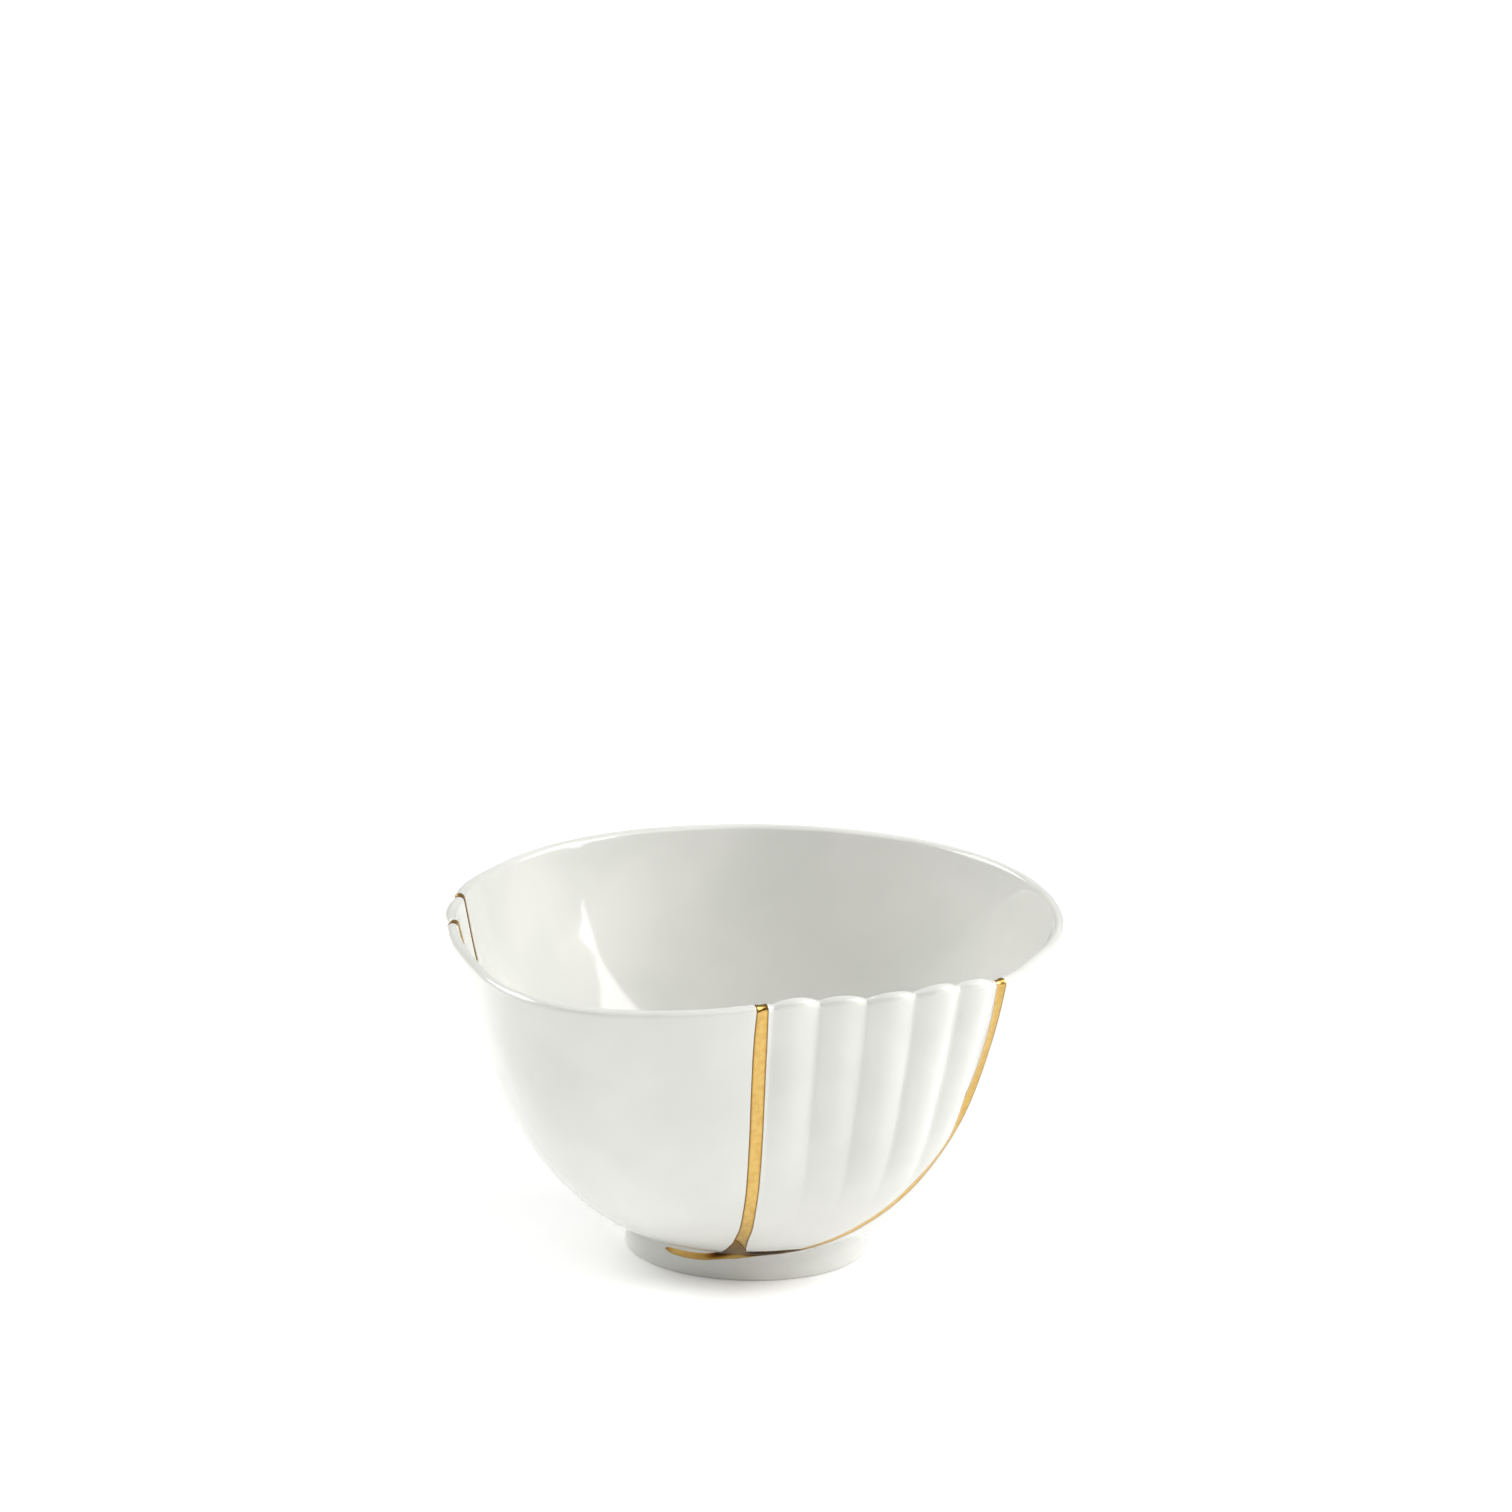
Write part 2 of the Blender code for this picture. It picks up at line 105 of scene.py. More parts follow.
def add_node(tree: bpy.types.NodeTree, kind: str, settings: Optional[Dict] = None,
             links: Optional[Dict] = None) -> bpy.types.Node:
    """Adds one node with its settings and links.

    Args:
        tree: Node tree that takes the node.
        kind: Blender's name for the node type.
        settings: Attribute names, or input names and places, with their values.
        links: Input names or places, with the output sockets that feed them.

    Returns:
        The new node.
    """
    node = tree.nodes.new(kind)
    for name, value in (settings or {}).items():
        if isinstance(name, str) and hasattr(node, name):
            setattr(node, name, value)
        else:
            node.inputs[name].default_value = value
    for name, socket in (links or {}).items():
        tree.links.new(socket, node.inputs[name])
    return node


def ramp(node: bpy.types.Node, stops: Sequence[Tuple[float, Tuple]]) -> bpy.types.Node:
    """Sets the stops of a colour ramp.

    Args:
        node: Colour ramp node.
        stops: Places from 0 to 1 with linear colours.

    Returns:
        The same node.
    """
    points = node.color_ramp.elements
    while len(points) > 1:
        points.remove(points[-1])
    points[0].position, points[0].color = stops[0]
    for place, colour in stops[1:]:
        points.new(place).color = colour
    return node


def soft_step(low: float, high: float, value: float) -> float:
    """Rises smoothly from 0 at low to 1 at high.

    Args:
        low: Value where the rise starts.
        high: Value where the rise ends.
        value: Value to place.

    Returns:
        Share from 0 to 1.
    """
    share = min(1.0, max(0.0, (value - low) / (high - low)))
    return share * share * (3.0 - 2.0 * share)


def through(keys: Sequence[float], values: Sequence[float], key: float) -> float:
    """Smooth curve through values that belong to rising keys.

    Args:
        keys: Rising keys.
        values: One value for each key.
        key: Place to read the curve at.

    Returns:
        Value of the curve.
    """
    index = 0
    while index < len(keys) - 2 and key > keys[index + 1]:
        index += 1
    slopes = []
    for place in (index, index + 1):
        low = max(0, place - 1)
        high = min(len(keys) - 1, place + 1)
        slopes.append((values[high] - values[low]) / (keys[high] - keys[low]))
    span = keys[index + 1] - keys[index]
    part = (key - keys[index]) / span
    value = values[index] * (1.0 + 2.0 * part) * (1.0 - part) ** 2
    value += values[index + 1] * part * part * (3.0 - 2.0 * part)
    value += slopes[0] * span * part * (1.0 - part) ** 2
    return value + slopes[1] * span * part * part * (part - 1.0)


def crowded_heights(low: float, high: float, steps: int, power: float) -> List[float]:
    """Heights that crowd towards the low end.

    Args:
        low: First height.
        high: Last height.
        steps: Number of steps.
        power: How strongly they crowd, 1 for even steps.

    Returns:
        Heights in rising order.
    """
    return [low + (high - low) * (step / steps) ** power for step in range(steps + 1)]


def around(azimuth: float, radius: float, height: float) -> Vector:
    """Point at an azimuth in radians, a radius and a height."""
    return Vector((radius * math.cos(azimuth), radius * math.sin(azimuth), height))


def join_sheet(builder: bmesh.types.BMesh, lines: Sequence[Sequence[bmesh.types.BMVert]]) -> None:
    """Fills the sheet between neighbouring lines of points.

    Args:
        builder: Mesh that takes the faces.
        lines: Lines of equally many points.
    """
    for here, there in zip(lines, lines[1:]):
        for row in range(len(here) - 1):
            builder.faces.new((here[row], there[row], there[row + 1], here[row + 1]))


class Swell(NamedTuple):
    """Soft swell in one direction, with its half width in degrees."""

    azimuth: float
    amount: float
    half_width: float


def swell_sum(swells: Sequence[Swell], azimuth: float) -> float:
    """Sum of soft swells.

    Args:
        swells: Swells around the bowl.
        azimuth: Direction in radians.

    Returns:
        Their sum in that direction.
    """
    total = 0.0
    for swell in swells:
        away = (math.degrees(azimuth) - swell.azimuth + 180.0) % 360.0 - 180.0
        total += swell.amount * math.exp(-((away / swell.half_width) ** 2))
    return total


class Skin(NamedTuple):
    """Point on the outer skin with its outward and upward directions."""

    place: Vector
    outward: Vector
    upward: Vector


class Layer(NamedTuple):
    """Ring of mesh points around the body, cut by the openings only where it is walled."""

    walled: bool
    height: float
    ring: List[bmesh.types.BMVert]


@dataclass(frozen=True)
class BowlWall:
    """Wall that the body, shards and seams all follow."""

    foot_height: float = 8.8 * MM
    foot_radius: float = 37.0 * MM
    foot_shift: float = 0.7 * MM
    foot_flare: float = 0.5 * MM
    foot_edge: float = 0.9 * MM
    thickness: float = 3.7 * MM
    rim_top: float = 105.8 * MM
    spring_share: float = 0.68
    # Section of the wall: part of it spreads quickly over the foot, the rest slowly up to the rim
    quick_share: float = 0.25
    quick_power: float = 5.13
    slow_power: float = 0.675
    # How much fuller the section is on the left than on the right
    lean: float = 0.0231
    base_radius: float = 95.0 * MM
    # Uneven plan of the bowl, fitted to its rim
    swells: Tuple[Swell, ...] = (
        Swell(-125.0, 15.5 * MM, 23.4),
        Swell(-74.8, -8.5 * MM, 19.0),
        Swell(49.1, 4.7 * MM, 37.4),
        Swell(163.0, -2.9 * MM, 26.0),
        Swell(164.0, 1.7 * MM, 10.0),
        Swell(198.0, 0.8 * MM, 11.0),
        Swell(-20.0, -1.0 * MM, 11.0),
    )
    # Soft rises of the rim around the fluted shard, and how far down they reach
    rises: Tuple[Swell, ...] = (
        Swell(-82.0, 0.9 * MM, 12.0),
        Swell(-50.0, 2.2 * MM, 13.0),
        Swell(-34.0, -1.1 * MM, 8.0),
    )
    rise_depth: float = 34.0 * MM
    # Reach of the fillet between ring and wall, and the ring's flare under it
    fillet_under: float = 3.2 * MM
    fillet_over: float = 0.5 * MM
    fillet_flare: float = 0.1 * MM
    # Lowest place over the foot where the skin is read, and the spans for its directions
    lowest_skin: float = 0.4 * MM
    probe_rise: float = 0.2 * MM
    probe_turn: float = math.radians(0.3)

    @property
    def spring(self) -> float:
        """Height where the wall turns into its rounded rim."""
        return self.rim_top - self.spring_share * self.thickness

    def crease_radius(self, azimuth: float) -> float:
        """Radius of the crease over the foot ring.

        Args:
            azimuth: Direction in radians.

        Returns:
            Radius in metres.
        """
        return self.foot_radius + self.foot_shift * math.cos(azimuth)

    def point(self, azimuth: float, height: float) -> Vector:
        """Point on the outer skin below the rim.

        Args:
            azimuth: Direction in radians.
            height: Height above the table.

        Returns:
            The point, measured from the foot's axis.
        """
        climb = min(1.0, max(0.0, (height - self.foot_height) / (self.spring - self.foot_height)))
        share = self.quick_share * (1.0 - (1.0 - climb) ** self.quick_power)
        share += (1.0 - self.quick_share) * climb ** self.slow_power
        share -= self.lean * math.cos(azimuth) * 4.0 * climb * (1.0 - climb)
        crease = self.crease_radius(azimuth)
        radius = crease + (self.base_radius + swell_sum(self.swells, azimuth) - crease) * share
        rise = swell_sum(self.rises, azimuth) * soft_step(self.spring - self.rise_depth, self.spring, height)
        return around(azimuth, radius, height + rise)

    def skirt(self, azimuth: float, height: float) -> Tuple[Vector, Vector]:
        """Point and outward direction on the foot ring, the crease or the low wall.

        Args:
            azimuth: Direction in radians.
            height: Height above the table.

        Returns:
            The point and its outward direction.
        """
        low = self.foot_height - self.fillet_under
        high = self.foot_height + self.fillet_over
        crease = self.crease_radius(azimuth)
        if height >= high:
            place = self.point(azimuth, height)
        elif height > low:
            ring = around(azimuth, crease + self.fillet_flare, low)
            corner = around(azimuth, crease, self.foot_height)
            top = self.point(azimuth, high)
            share = (height - low) / (high - low)
            place = ring * (1.0 - share) ** 2 + corner * 2.0 * share * (1.0 - share) + top * share ** 2
        else:
            share = (low - height) / (low - self.foot_edge)
            flare = self.fillet_flare + (self.foot_flare - self.fillet_flare) * share
            place = around(azimuth, crease + flare, height)
        tilt = soft_step(low, high, height)
        wall_side = self.skin(azimuth, high + self.fillet_over).outward
        return place, (around(azimuth, 1.0, 0.0) * (1.0 - tilt) + wall_side * tilt).normalized()

    def skin(self, azimuth: float, height: float) -> Skin:
        """Point and directions on the outer skin, running straight on above the rim.

        Args:
            azimuth: Direction in radians.
            height: Height above the table.

        Returns:
            Place, outward and upward directions.
        """
        base = min(self.spring, max(self.foot_height + self.lowest_skin, height))
        place = self.point(azimuth, base)
        low = self.point(azimuth, base - self.probe_rise)
        high = self.point(azimuth, min(self.spring, base + self.probe_rise))
        upward = (high - low).normalized()
        side = self.point(azimuth + self.probe_turn, base) - self.point(azimuth - self.probe_turn, base)
        outward = side.cross(upward).normalized()
        if height > self.spring:
            place = place + upward * (height - self.spring)
        return Skin(place, outward, upward)


@dataclass(frozen=True)
class SeamLine:
    """Centre line of one leg of a gold seam, as heights in mm, azimuths in degrees and widths in mm."""

    wall: BowlWall
    stations: Tuple[Station, ...]
    # Half span for the slope, lowest place over the foot and least rise between its ends
    probe: float = 0.6 * MM
    lowest: float = 0.2 * MM
    least_rise: float = 0.1 * MM

    def read(self, height: float) -> Pair:
        """Azimuth in radians and width of the band.

        Args:
            height: Height above the table.

        Returns:
            Azimuth of the centre line and width of the band.
        """
        tops = [station[0] * MM for station in self.stations]
        height = min(self.wall.spring, max(tops[0], height))
        turn = through(tops, [station[1] for station in self.stations], height)
        width = through(tops, [station[2] * MM for station in self.stations], height)
        return math.radians(turn), width

    def edge(self, height: float, side: float, trim: float) -> float:
        """Azimuth of one edge of the band.

        Args:
            height: Height above the table.
            side: Minus one for the left edge and one for the right edge.
            trim: Length taken off the edge.

        Returns:
            Azimuth in radians.
        """
        wall = self.wall
        azimuth, width = self.read(height)
        turn = (self.read(height + self.probe)[0] - self.read(height - self.probe)[0]) / (2.0 * self.probe)
        base = min(wall.spring, height)
        low = wall.point(azimuth, max(wall.foot_height + self.lowest, base - self.probe))
        high = wall.point(azimuth, min(wall.spring, base + self.probe))
        slant = (high - low).length / max(high.z - low.z, self.least_rise)
        radius = wall.point(azimuth, height).xy.length
        half = 0.5 * width - trim
        return azimuth + side * half * math.hypot(radius * turn, slant) / (slant * radius)


@dataclass(frozen=True)
class Opening:
    """Opening in the wall with its shard, framed by two seam legs and a sill."""

    left: SeamLine
    right: SeamLine
    foot: float
    inner_foot: float
    edge_round: float
    edge_drop: float
    # Height under the sill over which the rounding sets in
    sill_fade: float = 2.0 * MM

    def left_edge(self, height: float, edge: Edge, trim: float = 0.0) -> float:
        """Azimuth of the left outline.

        Args:
            height: Height above the table.
            edge: Outer or inner side of the seam.
            trim: Length that the outline draws back from the seam's edge.

        Returns:
            Azimuth in radians.
        """
        return self.left.edge(height, -edge.value, trim)

    def right_edge(self, height: float, edge: Edge, trim: float = 0.0) -> float:
        """Azimuth of the right outline.

        Args:
            height: Height above the table.
            edge: Outer or inner side of the seam.
            trim: Length that the outline draws back from the seam's edge.

        Returns:
            Azimuth in radians.
        """
        return self.right.edge(height, edge.value, trim)

    def drop(self, gap: float) -> float:
        """How far the glaze rounds off beside the seam.

        Args:
            gap: Distance to the seam.

        Returns:
            Depth below the plain skin.
        """
        return self.edge_drop * max(0.0, 1.0 - gap / self.edge_round) ** 2


@dataclass(frozen=True)
class Border:
    """One upright edge of an opening as the body meets it."""

    opening: Opening
    right: bool
    turns: float = 0.0

    def azimuth(self, height: float) -> float:
        """Azimuth of the edge, upright below its opening.

        Args:
            height: Height above the table.

        Returns:
            Azimuth in radians.
        """
        level = max(height, self.opening.foot)
        find = self.opening.right_edge if self.right else self.opening.left_edge
        return find(level, Edge.OUTSIDE) + 2.0 * math.pi * self.turns

    def drop(self, gap: float, height: float) -> float:
        """Depth of the glaze's rounding beside this edge, none below the opening.

        Args:
            gap: Distance from the edge along the wall.
            height: Height above the table.

        Returns:
            Depth below the plain skin.
        """
        sill = self.opening.foot
        return self.opening.drop(gap) * soft_step(sill - self.opening.sill_fade, sill, height)


@dataclass(frozen=True)
class Upright:
    """Upright line of the body's mesh between two borders."""

    stretch: Stretch
    first: Border
    last: Border
    share: float
    inset: float

    @property
    def closed(self) -> bool:
        """Whether the wall stands whole here, from the foot to the rim."""
        return self.stretch in (Stretch.RIGHT, Stretch.LEFT)

    def read(self, wall: BowlWall, height: float) -> Pair:
        """Azimuth in radians, and how far the glaze rounds off there.

        Args:
            wall: Wall of the bowl.
            height: Height above the table.

        Returns:
            Azimuth and depth below the plain skin.
        """
        start = self.first.azimuth(height)
        end = self.last.azimuth(height)
        border = self.last if self.inset < 0.0 else self.first
        radius = wall.point(start, max(height, border.opening.foot)).xy.length
        azimuth = start + (end - start) * self.share + self.inset / radius
        if not self.closed:
            return azimuth, self.first.drop(0.0, height)
        drop = self.first.drop((azimuth - start) * radius, height)
        return azimuth, max(drop, self.last.drop((end - azimuth) * radius, height))


@dataclass(frozen=True)
class GlazedPorcelain:
    """Hard white porcelain, slip cast and fired under a clear glossy glaze.

    The eye sees a cool white body with a mirror-like skin whose reflections
    waver a little, because the glaze pools and thins over centimetres. The
    bare tread under the foot is matt and a little warmer.
    """

    body: str = "#D9D9D4"
    shade: str = "#D2D3CD"
    bare: str = "#CFC9BC"
    ior: float = 1.52
    roughness: float = 0.07
    bare_roughness: float = 0.55
    # Reach of light within the white body
    scatter_mm: float = 1.6
    # Spacing and depth of the pooled glaze and of its orange peel, drawn coarser so that it shows
    wave_mm: float = 34.0
    wave_depth_mm: float = 0.5
    speck_mm: float = 1.4
    speck_depth_mm: float = 0.006
    # Heights over the table between which the bare tread turns into glaze
    bare_mm: Pair = (0.1, 0.5)

    def material(self, name: str) -> bpy.types.Material:
        """Builds the glaze for one piece.

        Args:
            name: Material name.

        Returns:
            The material.
        """
        made = bpy.data.materials.new(name)
        made.use_nodes = True
        tree = made.node_tree
        shader = tree.nodes["Principled BSDF"]
        shader.inputs["IOR"].default_value = self.ior
        shader.inputs["Subsurface Weight"].default_value = 0.12
        shader.inputs["Subsurface Radius"].default_value = (1.0, 0.95, 0.85)
        shader.inputs["Subsurface Scale"].default_value = self.scatter_mm * MM
        where = add_node(tree, "ShaderNodeTexCoord").outputs["Object"]
        pool = add_node(tree, "ShaderNodeTexNoise", {"Scale": 1.0 / (self.wave_mm * MM), "Detail": 2.0},
                        {"Vector": where})
        tint = add_node(tree, "ShaderNodeValToRGB", links={0: pool.outputs[0]})
        ramp(tint, ((0.35, linear(self.shade)), (0.62, linear(self.body))))
        parts = add_node(tree, "ShaderNodeSeparateXYZ", links={0: where})
        tread = add_node(tree, "ShaderNodeMapRange",
                         {"From Min": self.bare_mm[0] * MM, "From Max": self.bare_mm[1] * MM,
                          "To Min": 1.0, "To Max": 0.0},
                         {"Value": parts.outputs[2]})
        mixed = add_node(tree, "ShaderNodeMix", {"data_type": "RGBA", 7: linear(self.bare)},
                         {0: tread.outputs[0], 6: tint.outputs[0]})
        tree.links.new(mixed.outputs[2], shader.inputs["Base Color"])
        rough = add_node(tree, "ShaderNodeMapRange",
                         {"To Min": self.roughness, "To Max": self.bare_roughness},
                         {"Value": tread.outputs[0]})
        tree.links.new(rough.outputs[0], shader.inputs["Roughness"])
        grain = add_node(tree, "ShaderNodeTexNoise", {"Scale": 1.0 / (self.speck_mm * MM), "Detail": 3.0},
                         {"Vector": where})
        fine = add_node(tree, "ShaderNodeBump", {"Strength": 0.25, "Distance": self.speck_depth_mm * MM},
                        {"Height": grain.outputs[0]})
        wave = add_node(tree, "ShaderNodeBump", {"Strength": 0.6, "Distance": self.wave_depth_mm * MM},
                        {"Height": pool.outputs[0], "Normal": fine.outputs[0]})
        tree.links.new(wave.outputs[0], shader.inputs["Normal"])
        return made


@dataclass(frozen=True)
class FiredGold:
    """Bright gold, brushed on over the joint and fired, then burnished.

    The eye sees warm yellow metal in the middle of the band, with brown painted shade along its edges.
    """

    middle: str = "#D2B16A"
    streak: str = "#C8A35C"
    # Brown painted shade along the gold's edges
    painted_shade: str = "#8A6228"
    # Darkest painted shade: the belly's shadow on the tail and the stroke at the rim step; the band's edges
    # reach it halfway
    deep_shade: str = "#4A3012"
    roughness: float = 0.24
    roughness_spread: float = 0.14
    # Brush marks, drawn coarser than real ones so that they show
    brush_mm: float = 2.2
    brush_depth_mm: float = 0.05

    def material(self, name: str) -> bpy.types.Material:
        """Builds the gold for one seam.

        Args:
            name: Material name.

        Returns:
            The material.
        """
        made = bpy.data.materials.new(name)
        made.use_nodes = True
        tree = made.node_tree
        shader = tree.nodes["Principled BSDF"]
        shader.inputs["Metallic"].default_value = 1.0
        where = add_node(tree, "ShaderNodeTexCoord").outputs["Object"]
        brush = add_node(tree, "ShaderNodeTexNoise", {"Scale": 1.0 / (self.brush_mm * MM), "Detail": 4.0},
                         {"Vector": where})
        tint = add_node(tree, "ShaderNodeValToRGB", links={0: brush.outputs[0]})
        ramp(tint, ((0.38, linear(self.streak)), (0.6, linear(self.middle))))
        # Painted shade: a vertex layer darkens the gold to brown, fully from 0.5 and darkest from 0.95
        band = add_node(tree, "ShaderNodeAttribute", {"attribute_name": "painted_shade"})
        brown = add_node(tree, "ShaderNodeValToRGB", links={0: band.outputs["Fac"]})
        ramp(brown, ((0.55, linear(self.painted_shade)), (0.95, linear(self.deep_shade))))
        cover = add_node(tree, "ShaderNodeMapRange", {"From Max": 0.5}, {"Value": band.outputs["Fac"]})
        mixed = add_node(tree, "ShaderNodeMix", {"data_type": "RGBA"},
                         {0: cover.outputs[0], 6: tint.outputs[0], 7: brown.outputs[0]})
        tree.links.new(mixed.outputs[2], shader.inputs["Base Color"])
        rough = add_node(tree, "ShaderNodeMapRange",
                         {"To Min": self.roughness, "To Max": self.roughness + self.roughness_spread},
                         {"Value": brush.outputs[0]})
        tree.links.new(rough.outputs[0], shader.inputs["Roughness"])
        bump = add_node(tree, "ShaderNodeBump", {"Strength": 0.3, "Distance": self.brush_depth_mm * MM},
                        {"Height": brush.outputs[0]})
        tree.links.new(bump.outputs[0], shader.inputs["Normal"])
        return made


@dataclass
class Workbench:
    """Places every mesh in the bowl's frame and dresses it."""

    axis: Vector = field(default_factory=lambda: Vector((-0.79 * MM, 1.08 * MM, 0.0)))
    sharp_angle: float = math.radians(50.0)
    merge: float = 0.002 * MM

    def finish(self, name: str, builder: bmesh.types.BMesh, node: str,
               material: bpy.types.Material) -> bpy.types.Object:
        """Turns a mesh into a piece that replaces its solid.

        Args:
            name: Name of the piece.
            builder: Mesh measured from the foot's axis.
            node: Solid that the piece stands for.
            material: Finish of the piece.

        Returns:
            The new object.
        """
        bmesh.ops.remove_doubles(builder, verts=builder.verts, dist=self.merge)
        bmesh.ops.recalc_face_normals(builder, faces=builder.faces)
        for vertex in builder.verts:
            vertex.co += self.axis
        mesh = bpy.data.meshes.new(name)
        builder.to_mesh(mesh)
        builder.free()
        mesh.shade_smooth()
        mesh.set_sharp_from_angle(angle=self.sharp_angle)
        mesh.materials.append(material)
        piece = bpy.data.objects.new(name, mesh)
        bpy.context.scene.collection.objects.link(piece)
        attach(piece, "root")
        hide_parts(node)
        LOG.info("%s: %d faces", name, len(mesh.polygons))
        return piece


def half_round(outer: Vector, inner: Vector, upward: Vector, steps: int) -> List[Vector]:
    """Points of the rounded rim between the two skins, without its ends.

    Args:
        outer: Top of the outer skin.
        inner: Top of the inner skin.
        upward: Direction in which the wall rises.
        steps: Number of steps over the rim.

    Returns:
        Points from outside to inside.
    """
    centre = (outer + inner) / 2.0
    across = (outer - inner) / 2.0
    angles = [math.pi * step / steps for step in range(1, steps)]
    return [centre + across * math.cos(turn) + upward * across.length * math.sin(turn) for turn in angles]


@dataclass
class PlainBody:
    """Plain bowl with its foot ring and the openings for both shards."""

    wall: BowlWall
    front: Opening
    side: Opening
    tread: float = 2.4 * MM
    tread_round: float = 0.35 * MM
    tread_corner: float = 0.2 * MM
    draft: float = 1.6 * MM
    recess: float = 7.2 * MM
    recess_round: float = 1.8 * MM
    recess_lean: float = 0.4 * MM
    # Points of the ring's slight waist, as draw-in and height
    waist: Tuple[Pair, ...] = ((0.18 * MM, 3.0 * MM), (0.3 * MM, 5.2 * MM))
    floor_top: float = 11.6 * MM
    floor_rise: float = 0.6 * MM
    # Share of the floor's radius from which it runs up into the wall
    floor_blend: float = 0.8
    # Rings of the recess and the floor, as shares of their radius
    recess_rings: Tuple[float, ...] = (0.35, 0.7)
    floor_rings: Tuple[float, ...] = (0.93, 0.8, 0.6, 0.35, 0.12)
    # Rows over the fillet between ring and wall, in mm under the crease
    fillet_rows: Tuple[float, ...] = (3.2, 2.6, 2.0, 1.45, 1.0, 0.6, 0.2, -0.1, -0.35)
    # Rows below the front sill, between the sills and above the side sill
    row_counts: Tuple[int, int, int] = (4, 34, 22)
    row_crowding: float = 1.35
    right_steps: int = 150
    left_steps: int = 78
    side_steps: int = 12
    front_steps: int = 34
    bend_steps: int = 5
    rim_steps: int = 14

    def columns(self) -> List[Upright]:
        """Upright lines of the mesh, crowded beside the openings.

        Returns:
            Lines in order around the bowl.
        """
        side_left, side_right = Border(self.side, False), Border(self.side, True)
        front_left, front_right = Border(self.front, False, 1.0), Border(self.front, True, 1.0)
        stretches = (
            (Stretch.RIGHT, Border(self.front, True), side_left, self.right_steps),
            (Stretch.UNDER_SIDE, side_left, side_right, self.side_steps),
            (Stretch.LEFT, side_right, front_left, self.left_steps),
            (Stretch.UNDER_FRONT, front_left, front_right, self.front_steps),
        )
        lines = []
        for stretch, first, last, steps in stretches:
            even = [Upright(stretch, first, last, step / steps, 0.0) for step in range(steps)]
            near, far = [], []
            if even[0].closed:
                near = [Upright(stretch, first, last, 0.0, first.opening.edge_round * share)
                        for share in EDGE_SHARES]
                far = [Upright(stretch, first, last, 1.0, -last.opening.edge_round * share)
                       for share in reversed(EDGE_SHARES)]
            lines += even[:1] + near + even[1:] + far
        return lines

    def wall_rows(self) -> List[float]:
        """Heights of the wall's rows, with one on each sill.

        Returns:
            Heights in rising order.
        """
        wall = self.wall
        low, middle, high = self.row_counts
        rows = crowded_heights(wall.foot_height + wall.fillet_over, self.front.foot, low, 1.0)
        rows += crowded_heights(self.front.foot, self.side.foot, middle, self.row_crowding)[1:]
        return rows + crowded_heights(self.side.foot, wall.spring, high, 1.0)[1:]

    def foot_profile(self) -> List[Pair]:
        """Section of the foot ring, from the recess round the tread and up the outside.

        Returns:
            Points as reach past the crease's radius and height.
        """
        ring, edge = self.wall.foot_flare, self.wall.foot_edge
        inner = ring - edge - self.tread
        deep = inner - self.draft
        section = self.bend((deep - self.recess_round, self.recess), (deep, self.recess),
                            (deep + self.recess_lean, self.recess - self.recess_round))
        section += self.bend((inner - self.tread_round, 2.0 * self.tread_round),
                             (inner - self.tread_corner, 0.0), (inner + self.tread_round, 0.0))
        section += self.bend((ring - edge, 0.0), (ring, 0.0), (ring, edge))
        return section + [(ring - draw, height) for draw, height in self.waist]

    def bend(self, start: Pair, corner: Pair, end: Pair) -> List[Pair]:
        """Rounded corner of the section.

        Args:
            start: First point of the round.
            corner: Corner that it cuts off.
            end: Last point of the round.

        Returns:
            Points along the round.
        """
        points = []
        for step in range(self.bend_steps + 1):
            share = step / self.bend_steps
            weights = ((1.0 - share) ** 2, 2.0 * share * (1.0 - share), share * share)
            points.append(tuple(sum(w * p[i] for w, p in zip(weights, (start, corner, end))) for i in (0, 1)))
        return points

    def build(self, bench: Workbench, glaze: GlazedPorcelain) -> bpy.types.Object:
        """Builds the body and dresses it.

        Args:
            bench: Places and registers the mesh.
            glaze: Finish of the porcelain.

        Returns:
            The new object.
        """
        builder = bmesh.new()
        lines = self.columns()
        foot = self.foot_layers(builder, lines)
        outer, crests, inner = self.wall_layers(builder, lines)
        floor = self.floor_layers(builder, inner[0])
        layers = foot + outer + crests + inner[::-1] + floor
        self.skin_layers(builder, lines, layers)
        self.close_ends(builder, layers)
        self.close_openings(builder, lines, outer, crests, inner)
        return bench.finish("porcelain_body", builder, "bowl_body",
                            glaze.material("glazed_porcelain_body"))

    def foot_layers(self, builder: bmesh.types.BMesh, lines: Sequence[Upright]) -> List[Layer]:
        """Rings of the recess, the foot ring and the fillet over it.

        Args:
            builder: Mesh that takes the points.
            lines: Upright lines of the mesh.

        Returns:
            Layers from the recess outwards and up.
        """
        wall = self.wall
        turns = [line.read(wall, 0.0)[0] for line in lines]
        rings = []
        for share in self.recess_rings:
            radii = [share * (wall.crease_radius(turn) - self.tread - self.draft) for turn in turns]
            rings.append([around(turn, radius, self.recess) for turn, radius in zip(turns, radii)])
        for reach, height in self.foot_profile():
            rings.append([around(turn, wall.crease_radius(turn) + reach, height) for turn in turns])
        for drop in self.fillet_rows:
            rings.append([wall.skirt(turn, wall.foot_height - drop * MM)[0] for turn in turns])
        return [Layer(False, 0.0, [builder.verts.new(spot) for spot in ring]) for ring in rings]

